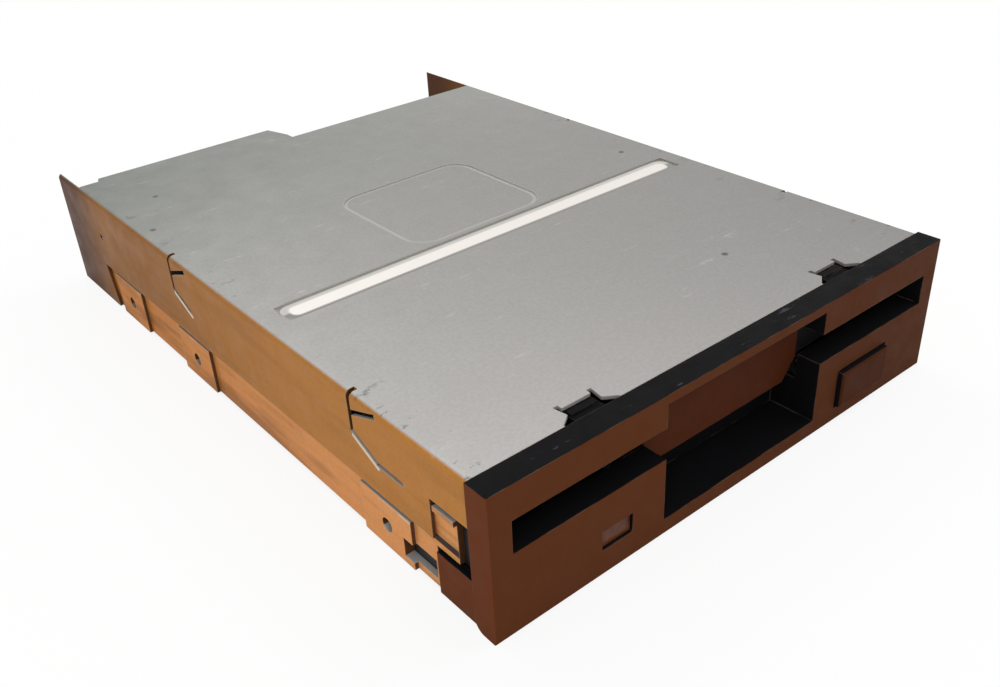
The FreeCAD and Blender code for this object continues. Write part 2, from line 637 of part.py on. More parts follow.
def slab(axis, points, along):
    # A plate with a polygon outline: (x, y) across z, (y, z) across x, or (x, z) across y
    sketch = doc.addObject("Sketcher::SketchObject", "Outline")
    rotation = {
        "z": FreeCAD.Rotation(),
        "x": FreeCAD.Rotation(0.5, 0.5, 0.5, 0.5),
        "y": FreeCAD.Rotation(FreeCAD.Vector(1, 0, 0), 90),
    }[axis]
    sketch.Placement = FreeCAD.Placement(FreeCAD.Vector(), rotation)
    start = along[1] if axis == "y" else along[0]
    tie(sketch, **{f"Placement__Base__{axis}": start})
    outline(sketch, points)
    plate = doc.addObject("Part::Extrusion", "Plate")
    plate.Base = sketch
    plate.DirMode = "Normal"
    plate.Solid = True
    tie(plate, LengthFwd=f"({along[1]}) - ({along[0]})")
    return plate


def ring(radius, hole, x, y, z):
    return cut(rod("z", radius, x, y, z), rod("z", hole, x, y, (f"{z[0]} - 1", f"{z[1]} + 1")))


def biarc(start, end):
    (a, ta), (b, tb) = start, end
    step = b - a
    both_ways = ta + tb
    bend = 2 * (1 - ta.dot(tb))
    if bend < 1e-9:
        return [Part.LineSegment(a, b).toShape()]
    drop = step.dot(both_ways)
    reach = (-drop + math.sqrt(drop * drop + bend * step.dot(step))) / bend
    meet = (a + ta * reach + b - tb * reach) * 0.5
    edges = []
    for p, corner, q in ((a, a + ta * reach, meet), (meet, b - tb * reach, b)):
        chord = (p + q) * 0.5
        half = math.atan2((corner - chord).Length, (q - p).Length / 2)
        if half < 1e-4:
            edges.append(Part.LineSegment(p, q).toShape())
            continue
        top = chord + (corner - chord) * (math.tan(half / 2) / math.tan(half))
        edges.append(Part.Arc(p, top, q).toShape())
    return edges


def wound_spring(node, middle, axis, across, radius, wire, turns, length, legs):
    # A coil about an axis, with a list of leg points before its first and after its last turn
    side = axis.cross(across)
    stops = []
    for i in range(4 * turns + 1):
        angle = i * math.pi / 2
        out = across * math.cos(angle) + side * math.sin(angle)
        spin = side * math.cos(angle) - across * math.sin(angle)
        rise = length / turns / (2 * math.pi)
        stops.append((middle + out * radius + axis * (length * (i / (4 * turns) - 0.5)),
                      (spin * radius + axis * rise).normalize()))
    path = legs[0] + stops + legs[1]
    edges = []
    for first, second in zip(path, path[1:]):
        edges += biarc(first, second)
    line = Part.Wire(edges)
    start, heading = path[0]
    profile = Part.Wire(Part.Circle(start, heading, wire / 2).toShape())
    tube = line.makePipeShell([profile], True, False)
    points = line.discretize(Number=60 * turns)
    pitch_points = 60
    gap = min(
        (points[i] - points[j]).Length - wire
        for i in range(0, len(points), 3)
        for j in range(i + pitch_points // 2, min(i + 2 * pitch_points, len(points)), 2)
    )
    print(node, "turns", turns, "least gap to itself", round(gap, 2), "mm")
    feature = doc.addObject("Part::Feature", "Spring")
    feature.Shape = tube
    name_node(node, feature)


def screw(x, y, under_head, length, head_up=True):
    tip, top = (f"{under_head} - {length}", f"{under_head} + 1") if head_up else (
        f"{under_head} - 1", f"{under_head} + {length}")
    shank = (tip, under_head) if head_up else (under_head, top)
    head = (under_head, top) if head_up else (tip, under_head)
    slot_z = (f"{top} - 0.5", f"{top} + 1") if head_up else (f"{tip} - 1", f"{tip} + 0.5")
    whole = fuse(rod("z", "2", x, y, head), rod("z", "0.9", x, y, shank))
    recess = [block(span(x, "2.4"), span(y, "0.5"), slot_z), block(span(x, "0.5"), span(y, "2.4"), slot_z)]
    return cut(whole, *recess)


def vector(x, y, z):
    return FreeCAD.Vector(number(x), number(y), number(z))


# Eject button, slider and its springs
def eject_parts():
    reach = ("guide_front - 9.7", "holder_end - 6")
    low = (slider_z, slider_top)
    metal = [
        block(both(slider_outside), ("guide_front - 9.7", "guide_front - 5"), low),
        block(span("button_x", "9"), ("bezel_depth + 4.6", "guide_front - 9"), low),
    ]
    slots = []
    for side in (left, right):
        wall = side((slider_inside, slider_outside))
        metal.append(block(side((f"{slider_inside} - 0.6", slider_outside)), reach, low))
        metal.append(block(wall, reach, (slider_z, "9.4")))
        metal.append(block(side(("spring_x - 0.5", slider_outside)), ("spring_rear", "spring_rear + 3"), low))
        hook = side(("spring_x - slide_sheet / 2", "spring_x + slide_sheet / 2"))
        metal.append(block(hook, ("spring_rear", "spring_rear + 2.6"), (slider_z, "spring_z + 0.7")))
        slots.append(rod("x", "spring_wire / 2 + 0.35", (f"{hook[0]} - 1", f"{hook[1]} + 1"),
                         "spring_rear + 1.2", "spring_z - spring_leg"))
        through = (f"{wall[0]} - 1", f"{wall[1]} + 1")
        for guide in ("guide_front", "guide_rear"):
            metal.append(block(wall, (f"{guide} - 3.6", f"{guide} + eject_travel + 3.6"),
                               (slider_z, "guide_z + guide_radius + 1.1")))
            low_end = (f"{guide} + eject_travel", "guide_z - holder_drop")
            fit = "guide_radius + slide_gap"
            slots.append(rod("x", fit, through, guide, "guide_z"))
            slots.append(rod("x", fit, through, *low_end))
            slots.append(slab("x", strip_points((guide, "guide_z"), low_end, f"2 * ({fit})"), through))
    name_node("eject_slider", cut(fuse(*metal), *slots))

    button = new_body("eject_button")
    add_box(button, span("button_x", "button_width"), ("-button_proud", "bezel_depth - 0.4"),
            span("button_z", "button_height"))
    front = -number("button_proud")
    round_edges(button, "0.5", lambda e: near(e.BoundBox.YMax, front))
    add_box(button, span("button_x", "7"), ("bezel_depth - 1", "guide_front - 11"), (slider_top, f"{slider_top} + 2"))

    along = FreeCAD.Vector(0, 1, 0)
    across = FreeCAD.Vector(1, 0, 0)
    up = FreeCAD.Vector(0, 0, 1)
    for node, sign in (("eject_spring_left", -1), ("eject_spring_right", 1)):
        x = number("spring_x") * sign
        z = number("spring_z")
        radius = number("spring_radius")
        hooks = [number("spring_front") - 1.2, number("spring_rear") + 1.2]
        middle = FreeCAD.Vector(x, sum(hooks) / 2, z)
        length = hooks[1] - hooks[0] - 6.5
        legs = []
        for y, way, lift in ((hooks[0], 1, "spring_leg"), (hooks[1], -1, "-spring_leg")):
            high = z + number(lift)
            bend = y + way * 1.0
            inner = middle.y - way * (length / 2 + 1.1)
            legs.append([
                (FreeCAD.Vector(x - 1.1, y, high), across),
                (FreeCAD.Vector(x + radius - 1.0, y, high), across),
                (FreeCAD.Vector(x + radius, bend, high), along * way),
                (FreeCAD.Vector(x + radius, inner, high), along * way),
            ])
        legs[1] = [(point, -heading) for point, heading in reversed(legs[1])]
        wound_spring(node, middle, along, across, radius, number("spring_wire"), 16, length, legs)


def dust_door():
    half = "(slot_half - 0.4)"
    sheet_y = ("hinge_y - 0.1 - door_sheet", "hinge_y - 0.1")
    middle = "(thumb_half + 0.4)"
    slope = "(door_bottom - door_middle) * 0.78"
    panel = slab("y", [
        (f"-{half}", "hinge_z"), (f"-{half}", "door_bottom"), (f"-{middle}", "door_bottom"),
        (f"-{middle} + {slope}", "door_middle"), (f"{middle} - {slope}", "door_middle"),
        (middle, "door_bottom"), (half, "door_bottom"), (half, "hinge_z"),
    ], sheet_y)
    barrel = rod("x", "door_pin + 0.65", both(half), "hinge_y", "hinge_z")
    room = block(("32.4", "37.6"), ("hinge_y - 3", "hinge_y + 3"), ("hinge_z - 2", "hinge_z + 3"))
    bore = rod("x", "door_pin + pin_gap", both(f"{half} + 1"), "hinge_y", "hinge_z")
    name_node("dust_door", cut(fuse(panel, barrel), bore, room))
    set_node("door_hinge_pin", rod("x", "door_pin", both("slot_half + 0.4 + moulding"), "hinge_y", "hinge_z"))
    along = FreeCAD.Vector(1, 0, 0)
    down = FreeCAD.Vector(0, 0, -1)
    back = FreeCAD.Vector(0, 1, 0)
    radius = number("door_pin + 0.55")
    middle = vector("slot_half - 12", "hinge_y", "hinge_z")
    first = middle - along * 2 + back * radius
    last = middle + along * 2 + back * radius
    legs = [
        [(first + down * 3.2 + back * 0.06, -down), (first + down * 0.6, -down)],
        [(last + down * -0.6, -down), (last + down * -1.7, -down)],
    ]
    wound_spring("door_spring", middle, along, back, radius, number("coil_wire"), 5, 4.0, legs)


def disk_parts():
    roof = (holder_roof, f"{holder_roof} + slide_sheet")
    top = f"({holder_roof} + slide_sheet)"
    plate = block(both(holder_outside), ("holder_front", "holder_end"), roof)
    lever_radius = number("lever_reach_x"), number("lever_reach_y")
    swing = f"{math.hypot(*lever_radius):.4f}"
    swept = cut(rod("z", f"{swing} + 1.6", "lever_x", "lever_y", (f"{roof[0]} - 1", f"{roof[1]} + 1")),
                rod("z", f"{swing} - 1.6", "lever_x", "lever_y", (f"{roof[0]} - 2", f"{roof[1]} + 2")))
    common = doc.addObject("Part::Common", "LeverSlot")
    common.Base = swept
    common.Tool = block(("lever_x + lever_reach_x - 2.6", "-9"), ("lever_y - 30", "lever_y + 0.6"), (f"{roof[0]} - 1", f"{roof[1]} + 1"))
    metal = [plate]
    for side in (left, right):
        metal.append(block(side((holder_inside, holder_outside)), ("holder_front", "holder_end"),
                           (f"{holder_floor} - slide_sheet", top)))
        metal.append(block(side((f"{holder_inside} - holder_lip", holder_outside)), ("holder_front", "holder_end"),
                           (f"{holder_floor} - slide_sheet", holder_floor)))
    holes = [
        block(both("thumb_half + 2.2"), ("holder_front - 1", "holder_front + 4.4"), (f"{roof[0]} - 1", f"{roof[1]} + 1")),
        block(both("9.2"), ("head_y - head_travel - 6", "holder_end + 1"), (f"{roof[0]} - 1", f"{roof[1]} + 1")),
        block(("-11.4", "9.2"), ("head_y + 5.5", "holder_end + 1"), (f"{roof[0]} - 1", f"{roof[1]} + 1")),
        common,
    ]
    name_node("disk_holder", cut(fuse(*metal), *holes))
    pins = []
    for side in (left, right):
        for guide in ("guide_front", "guide_rear"):
            pins.append(rod("x", "guide_radius", side((holder_outside, f"{wall_outside} - 0.2")), guide, "guide_z"))
    set_node("lift_pins", *pins)

    # Shutter lever on its post, with the pin that catches the disk's shutter
    low = f"({top} + 0.3)"
    high = f"({low} + 0.8)"
    tip_x = "lever_x + lever_reach_x"
    tip_y = "lever_y - lever_reach_y"
    blade = fuse(
        slab("z", strip_points(("lever_x", "lever_y"), (tip_x, tip_y), "4.4"), (low, high)),
        rod("z", "3.4", "lever_x", "lever_y", (low, high)),
        rod("z", "2.2", tip_x, tip_y, (low, high)),
        block(("lever_x - 8", "lever_x"), ("lever_y - 1", "lever_y + 3.4"), (low, high)),
        rod("z", "lever_pin", tip_x, tip_y, (f"{holder_floor} + 0.6", high)),
    )
    name_node("shutter_lever", cut(blade, rod("z", "post_radius + pin_gap", "lever_x", "lever_y", (f"{low} - 1", f"{high} + 1"))))
    post_top = f"({high} + 3.6)"
    name_node("lever_post", fuse(rod("z", "post_radius", "lever_x", "lever_y", (top, post_top)),
                                 rod("z", "post_radius + 1.1", "lever_x", "lever_y", (f"{post_top} - 0.4", post_top))))
    up = FreeCAD.Vector(0, 0, 1)
    across = FreeCAD.Vector(-1, 0, 0)
    side = up.cross(across)
    radius = number("post_radius") + 0.75
    middle = vector("lever_x", "lever_y", f"({high} + {post_top} - 0.4) / 2")
    first = middle - up * 1.1 + across * radius
    last = middle + up * 1.1 + across * radius
    legs = [
        [(first - side * 5, side), (first - side * 0.6, side)],
        [(last + side * 0.6, side), (last + side * 4, side)],
    ]
    wound_spring("lever_spring", middle, up, across, radius, number("coil_wire"), 3, 2.2, legs)


def spindle_parts():
    spindle = ("0", "spindle_y")
    board_top = f"({base_top} + motor_board)"
    board = block(("-27", "31"), ("guide_front + 0.5", motor_board_end), (base_top, board_top))
    holes = [rod("z", "3.7", *spindle, ("base_z", f"{board_top} + 1"))]
    holes += [rod("z", "1.05", x, y, ("base_z", f"{board_top} + 1")) for x, y in motor_screws]
    name_node("motor_board", cut(board, *holes))
    bearing = fuse(rod("z", "4.5", *spindle, (board_top, "rotor_top - rotor_sheet - 0.5")),
                   rod("z", "3.6", *spindle, ("base_z - 0.2", board_top)))
    name_node("spindle_bearing", cut(bearing, rod("z", "shaft_radius + pin_gap", *spindle, ("base_z + 0.4", "rotor_top"))))
    set_node("spindle_shaft", rod("z", "shaft_radius", *spindle, ("base_z + 0.45", "shaft_tip")))

    rotor = new_body("rotor_cup")
    tie(rotor, Placement__Base__y=f"spindle_y - {middle_y}")
    profile = new_sketch(rotor, "XZ_Plane")
    outline(profile, [
        ("shaft_radius", "rotor_top - rotor_sheet"), ("rotor_radius - rotor_sheet", "rotor_top - rotor_sheet"),
        ("rotor_radius - rotor_sheet", "rotor_top - rotor_height"), ("rotor_radius", "rotor_top - rotor_height"),
        ("rotor_radius", "rotor_top"), ("shaft_radius", "rotor_top"),
    ])
    turned = rotor.newObject("PartDesign::Revolution", "Turned")
    turned.Profile = profile
    turned.ReferenceAxis = (profile, ["V_Axis"])
    turned.Angle = 360

    magnet_out = "(rotor_radius - rotor_sheet)"
    name_node("rotor_magnet", ring(magnet_out, f"{magnet_out} - magnet_wall", *spindle,
                                   ("rotor_top - rotor_height + 0.2", "rotor_top - rotor_sheet")))
    seat = ("rotor_top", "rotor_top + hub_height")
    groove = ("rotor_top + hub_height - 0.6", "rotor_top + hub_height")
    name_node("disk_seat", cut(rod("z", "hub_radius", *spindle, seat),
                               rod("z", "shaft_radius", *spindle, ("rotor_top - 1", "rotor_top + 3")),
                               ring("pin_circle - pin_radius - 1", "shaft_radius + 2.4", *spindle,
                                    (groove[0], f"{groove[1]} + 1")),
                               rod("z", "pin_radius", "pin_circle", "spindle_y", ("rotor_top - 1", "rotor_top + 3"))))
    name_node("chuck_magnet", ring("pin_circle - pin_radius - 1", "shaft_radius + 2.4", *spindle, groove))
    set_node("drive_pin", rod("z", "pin_radius", "pin_circle", "spindle_y", ("rotor_top", "shaft_tip - 0.6")))

    # Stator: a ring of poles with one coil on each
    core_low = "(rotor_top - rotor_sheet - 2.4)"
    core = new_body("stator_core")
    tie(core, Placement__Base__y=f"spindle_y - {middle_y}")
    yoke = new_sketch(core, "XY_Plane", core_low)
    circle(yoke, "0.0001", "0.0001", "7.2")
    circle(yoke, "0.0001", "0.0001", "4.55")
    pad(core, yoke, "1.3")
    tip = f"({magnet_out} - magnet_wall - 0.5)"
    pole = new_sketch(core, "XY_Plane", core_low)
    outline(pole, [("6.6", "-1.1"), (f"{tip} - 1.8", "-1.1"), (f"{tip} - 1.2", "-3.6"), (f"{tip} - 0.3", "-3.6"),
                   (tip, "-1.1"), (tip, "1.1"), (f"{tip} - 0.3", "3.6"), (f"{tip} - 1.2", "3.6"),
                   (f"{tip} - 1.8", "1.1"), ("6.6", "1.1")])
    arm = pad(core, pole, "1.3")
    ring_of(core, arm, 9)
    coils = new_body("stator_coils")
    tie(coils, Placement__Base__y=f"spindle_y - {middle_y}")
    window = new_sketch(coils, "YZ_Plane", "7.6")
    rectangle(window, both("2.1"), (f"{core_low} - 0.8", f"{core_low} + 2.05"))
    rectangle(window, both("1.15"), (f"{core_low} - 0.05", f"{core_low} + 1.35"))
    winding = pad(coils, window, f"{tip} - 1.9 - 7.6")
    ring_of(coils, winding, 9)

    driver = block(span("26", "6.4"), span("62", "6.4"), (board_top, f"{board_top} + 1.4"))
    legs = []
    for i in range(8):
        shift = f"{(i - 3.5) * 0.75:.3f}"
        legs.append(block(span("26", "8"), span(f"62 + {shift}", "0.3"), (board_top, f"{board_top} + 0.5")))
    name_node("motor_chip", fuse(driver, *legs))
    set_node("index_sensor", block(("rotor_radius + 0.6", "rotor_radius + 3.2"), span("spindle_y", "4"),
                                   (board_top, f"{board_top} + 1.7")))
    return [screw(x, y, board_top, "1.8") for x, y in motor_screws]


def ring_of(body, feature, count):
    doc.recompute()
    pattern = body.newObject("PartDesign::PolarPattern", "Ring")
    pattern.Originals = [feature]
    axis = next(a for a in body.Origin.OriginFeatures if a.Role == "Z_Axis")
    pattern.Axis = (axis, [""])
    pattern.Angle = 360
    pattern.Occurrences = count
    body.Tip = pattern


def head_parts():
    rear = "(head_y + 26)"
    deck = "(rod_z + 2.2)"
    floor = f"({base_top} + 0.3)"
    sleeve_y = ("head_y + 4", "head_y + 24")
    solids = [
        block(both("rod_x - 3"), ("head_y - 4.2", rear), (floor, deck)),
        block(both("5.5"), ("head_y - 4.2", "head_y + 4.2"), (f"{deck} - 0.1", "head_plane - 1")),
        block(both("6"), ("head_y + arm_pivot - 2.3", rear), (f"{deck} - 0.1", "arm_z - 2.2")),
        block(("screw_x - 2", "-rod_x + 1"), ("head_y + 5", "head_y + 10"), (floor, deck)),
        block(("rod_x + 2", "rod_x + 6.4"), ("head_y + 9.5", "head_y + 12.5"), ("rod_z - 0.5", "rod_z + 0.3")),
    ]
    bores = [rod("y", "screw_radius + slide_gap", "screw_x", ("head_y + 4", "head_y + 11"), "rod_z")]
    for side in (left, right):
        solids.append(block(side(("rod_x - 3.5", "rod_x + 2.5")), sleeve_y, (floor, deck)))
        bore_x = side(("rod_x", "rod_x"))[0]
        bores.append(rod("y", "rod_radius + pin_gap", bore_x, ("head_y + 3", "head_y + 25"), "rod_z"))
        cheek = side(("3.7", "6"))
        solids.append(block(cheek, ("head_y + arm_pivot - 1.7", "head_y + arm_pivot + 1.7"), ("arm_z - 2.4", "arm_z + 1.4")))
        bores.append(rod("x", "arm_pin", (f"{cheek[0]} - 1", f"{cheek[1]} + 1"), "head_y + arm_pivot", "arm_z"))
    name_node("head_carriage", cut(fuse(*solids), *bores))
    set_node("lower_head", block(both("2.2"), span("head_y", "5.6"), ("head_plane - 1", "head_plane")))
    set_node("arm_hinge_pin", rod("x", "arm_pin", ("-10.6", "6.6"), "head_y + arm_pivot", "arm_z"))

    arm_low = "(arm_z + 0.9)"
    arm = fuse(
        block(both("3.4"), ("head_y + arm_pivot - 1.6", "head_y + arm_pivot + 1.6"), ("arm_z - 1.5", f"{arm_low} + 1.2")),
        block(both("3.4"), ("head_y + 9", "head_y + arm_pivot - 1"), (arm_low, f"{arm_low} + 1.2")),
        block(both("5.5"), ("head_y - 4.6", "head_y + 14.4"), (arm_low, f"{arm_low} + 1.2")),
        block(("5", "13.4"), ("head_y + 11", "head_y + 14"), (f"{arm_low} + 0.2", f"{arm_low} + 1.2")),
        block(("-5.5", "-4.7"), ("head_y - 4.6", "head_y + 14.4"), (arm_low, f"{arm_low} + 2.4")),
        block(("4.7", "5.5"), ("head_y - 4.6", "head_y + 14.4"), (arm_low, f"{arm_low} + 2.4")),
    )
    name_node("upper_head_arm", cut(arm, rod("x", "arm_pin + pin_gap", both("8"), "head_y + arm_pivot", "arm_z")))
    set_node("upper_head", block(both("2.2"), span("head_y", "5.6"), ("arm_z + 0.05", arm_low)))

    along = FreeCAD.Vector(-1, 0, 0)
    up = FreeCAD.Vector(0, 0, 1)
    forward = FreeCAD.Vector(0, -1, 0)
    radius = number("arm_pin") + 0.5
    middle = vector("-8.3", "head_y + arm_pivot", "arm_z")
    across = -up
    side = along.cross(across)
    first = middle - along * 1.3 + across * radius
    last = middle + along * 1.3 + across * radius
    legs = [
        [(first - side * 3, side), (first - side * 0.5, side)],
        [(last + side * 0.5, side), (last + side * 2.4, side)],
    ]
    wound_spring("arm_spring", middle, along, across, radius, number("coil_wire"), 3, 2.6, legs)

    rods = []
    supports = []
    for side in (left, right):
        x = side(("rod_x", "rod_x"))[0]
        rods.append(rod("y", "rod_radius", x, ("rod_front", "rod_end"), "rod_z"))
        for ends in (("rod_front", "rod_front + 3"), ("rod_end - 3", "rod_end")):
            solid = block(side(("rod_x - 2.3", "rod_x + 2.6")), ends, (base_top, deck))
            supports.append(cut(solid, rod("y", "rod_radius", x, (f"{ends[0]} - 1", f"{ends[1]} + 1"), "rod_z")))
    set_node("guide_rods", *rods)
    set_node("rod_supports", *supports)


def stepper_parts():
    front = "stepper_front"
    axis = ("screw_x", "rod_z")
    set_node("lead_screw", rod("y", "screw_radius", "screw_x", ("rod_front + 0.6", "stepper_front + 6"), "rod_z"))
    name_node("screw_bearing", cut(block(span("screw_x", "6"), ("rod_front - 1", "rod_front + 2.4"), (base_top, "rod_z + 2.6")),
                                   rod("y", "screw_radius + pin_gap", "screw_x", ("rod_front + 0.2", "rod_front + 5"), "rod_z")))
    case = rod("y", "stepper_radius", "screw_x", (front, f"{front} + stepper_length"), "rod_z")
    nose = rod("y", "2.6", "screw_x", (f"{front} - 1.4", front), "rod_z")
    seam = cut(rod("y", "stepper_radius + 1", "screw_x", (f"{front} + stepper_length / 2 - 0.2", f"{front} + stepper_length / 2 + 0.2"), "rod_z"),
               rod("y", "stepper_radius - 0.4", "screw_x", (front, f"{front} + stepper_length"), "rod_z"))
    socket = block(span("screw_x", "6"), (f"{front} + 3", f"{front} + 9"), ("rod_z + stepper_radius - 1", "rod_z + stepper_radius + 1.2"))
    bore = rod("y", "screw_radius + pin_gap", "screw_x", (f"{front} - 2", f"{front} + 6.2"), "rod_z")
    name_node("stepper_motor", cut(fuse(case, nose, socket), seam, bore))
    plate = fuse(
        block(span("screw_x", "2 * stepper_radius + 1"), (f"{front} - 1", front), (base_top, "rod_z + stepper_radius")),
        block(("screw_x - stepper_radius - 6", "screw_x + stepper_radius + 0.5"), (f"{front} - 5.6", front), (base_top, f"{base_top} + 1")),
    )
    holes = [rod("y", "2.65", "screw_x", (f"{front} - 6", f"{front} + 1"), "rod_z")]
    holes += [rod("z", "1.05", x, y, ("base_z", f"{base_top} + 2")) for x, y in stepper_screws]
    name_node("stepper_bracket", cut(plate, *holes))
    # Light gate that sees the carriage's flag at the outermost track
    sensor = cut(block(("rod_x + 3.4", "rod_x + 9.4"), span("head_y + 11", "5"), (base_top, "rod_z + 2.4")),
                 block(("rod_x", "rod_x + 7.4"), span("head_y + 11", "7"), ("rod_z - 1", "rod_z + 0.8")))
    name_node("track_sensor", sensor)
    return [screw(x, y, f"{base_top} + 1", "1.8") for x, y in stepper_screws]


def main_board_parts():
    low = "main_board_z"
    top = "(main_board_z + main_board)"
    plate = block(both("main_board_half"), ("main_board_front", "main_board_end"), (low, top))
    room = block(span("screw_x", "2 * stepper_radius + 2"), ("stepper_front - 1.2", "stepper_front + stepper_length + 1.2"),
                 (f"{low} - 1", f"{top} + 1"))
    holes = [rod("z", "1.05", x, y, (f"{low} - 1", f"{top} + 1")) for x, y in board_screws]
    name_node("main_board", cut(plate, room, *holes))
    set_node("board_screws", *[screw(x, y, low, "2.2", head_up=False) for x, y in board_screws])

    chip_z = (f"{low} - 1.3", low)
    controller = [block(span("8", "12"), span("106", "12"), chip_z)]
    for i in range(12):
        shift = f"{(i - 5.5) * 0.9:.3f}"
        leg_z = (f"{low} - 0.5", low)
        controller.append(block(span("8", "14"), span(f"106 + {shift}", "0.35"), leg_z))
        controller.append(block(span(f"8 + {shift}", "0.35"), span("106", "14"), leg_z))
    name_node("controller_chip", fuse(*controller))
    small = []
    for i in range(6):
        small.append(block(span(f"{-30 + 4 * i}", "1.6"), span("97.5", "0.9"), (f"{low} - 0.6", low)))
        small.append(block(span(f"{20 + 3 * i}", "1.6"), span("117", "0.9"), (f"{low} - 0.6", low)))
    small.append(block(span("27", "5"), span("99", "4"), (f"{low} - 1.2", low)))
    small.append(block(span("-34", "7"), span("127", "5"), (f"{low} - 1.2", low)))
    small.append(block(span("27", "9"), span("106", "3.8"), (f"{low} - 1.6", low)))
    set_node("small_parts", *small)

    # Data connector: a keyed shroud round two rows of right-angle pins
    back = "(main_board_end - 9)"
    mouth = "(main_board_end + 0.4)"
    long = "16 * plug_pitch + 9"
    middle_z = f"({top} + 4.4)"
    shroud = block(span("plug_x", long), (f"{back} - 1.2", mouth), (top, f"{top} + 8.8"))
    hollow = block(span("plug_x", f"{long} - 2.4"), (back, f"{mouth} + 1"), (f"{middle_z} - 3.2", f"{middle_z} + 3.2"))
    key = block(span("plug_x", "4.4"), (f"{back} + 1.5", f"{mouth} + 1"), (f"{middle_z} + 3", f"{top} + 10"))
    pin_slots = [block(span("plug_x", "16 * plug_pitch + 0.7"), (f"{back} - 2", f"{back} + 0.5"), span(f"{middle_z} + {dz}", "0.7"))
                 for dz in ("plug_pitch / 2", "-plug_pitch / 2")]
    name_node("data_connector", cut(shroud, hollow, key, *pin_slots))
    pin_rows("data_pins", "plug_x", "plug_pitch", 17, back, middle_z, top, ["plug_pitch / 2", "-plug_pitch / 2"])
    shroud = block(span("power_x", "3 * power_pitch + 4.6"), (f"{back} - 1.2", mouth), (top, f"{top} + 6"))
    hollow = block(span("power_x", "3 * power_pitch + 2.8"), (back, f"{mouth} + 1"), (f"{top} + 1", f"{top} + 7"))
    slot = block(span("power_x", "3 * power_pitch + 0.7"), (f"{back} - 2", f"{back} + 0.5"), span(f"{top} + 3", "0.7"))
    name_node("power_connector", cut(shroud, hollow, slot))
    pin_rows("power_pins", "power_x", "power_pitch", 4, back, f"({top} + 3)", top, ["0"])


def pin_rows(node, middle_x, pitch, count, back, middle_z, board_top, rows):
    body = new_body(node)
    width = "0.64"
    pads = []
    for i, row in enumerate(rows):
        z = f"({middle_z} + {row})"
        # The upper row bends down further behind the shroud than the lower one
        bend = f"({back} - {4.2 - 1.4 * i:.1f})"
        half = "0.32"
        leg = new_sketch(body, "YZ_Plane", f"{middle_x} - {count - 1} * {pitch} / 2 - {half}")
        outline(leg, [(bend, board_top), (f"{bend} + {width}", board_top), (f"{bend} + {width}", f"{z} - {half}"),
                      (f"{back} + 7.6", f"{z} - {half}"), (f"{back} + 7.6", f"{z} + {half}"), (bend, f"{z} + {half}")])
        pads.append(pad(body, leg, width))
    doc.recompute()
    pattern = body.newObject("PartDesign::LinearPattern", "Row")
    pattern.Originals = pads
    axis = next(a for a in body.Origin.OriginFeatures if a.Role == "X_Axis")
    pattern.Direction = (axis, [""])
    pattern.Occurrences = count
    tie(pattern, Length=f"{count - 1} * {pitch}")
    body.Tip = pattern


def sensing_parts():
    board_z = ("switch_board_z", "switch_board_z + 0.9")
    board_y = ("switch_y - 3.8", "guide_front - 0.6")
    hole_y = "(guide_front - 2.4)"
    inner = "(led_x + 3.5)"
    left_board = cut(block(("-switch_x - 3", f"{inner} + 3"), board_y, board_z),
                     *[rod("z", "1.05", x, hole_y, ("0", "20")) for x in ("-switch_x", inner)])
    right_board = cut(block(("switch_x - 3.5", "switch_x + 3.6"), board_y, board_z),
                      rod("z", "1.05", "switch_x", hole_y, ("0", "20")))
    set_node("switch_boards", left_board, right_board)
    bodies_top = "(switch_board_z + 4.2)"
    switches = []
    for node, x in (("write_protect_plunger", "-switch_x"), ("disk_in_plunger", "switch_pitch - switch_x"),
                    ("density_plunger", "switch_x")):
        body = cut(block(span(x, "5.2"), span("switch_y", "4.8"), (board_z[1], bodies_top)),
                   rod("z", "0.85", x, "switch_y", (f"{bodies_top} - 3", f"{bodies_top} + 1")))
        switches.append(body)
        set_node(node, rod("z", "0.8", x, "switch_y", (f"{bodies_top} - 1.2", "plunger_top")))
    set_node("sensing_switches", *switches)
    posts = [ring("2.2", "0.9", x, hole_y, (base_top, board_z[0])) for x in ("-switch_x", inner, "switch_x")]
    set_node("board_posts", *posts)
    lamp = block(span("led_x", "5"), ("bezel_depth + 1.1", "switch_y - 2.8"), ("led_z - 1.6", board_z[0]))
    set_node("activity_led", lamp)
    window = block(span("led_x", "led_width - 0.1"), ("led_recess", "bezel_depth + 0.9"), span("led_z", "led_height - 0.1"))
    rim = block(span("led_x", "led_width + 1.4"), ("bezel_depth", "bezel_depth + 0.9"), span("led_z", "led_height + 1.4"))
    name_node("light_lens", fuse(window, rim))
    return [screw(x, hole_y, board_z[1], "2.6") for x in ("-switch_x", inner, "switch_x")]


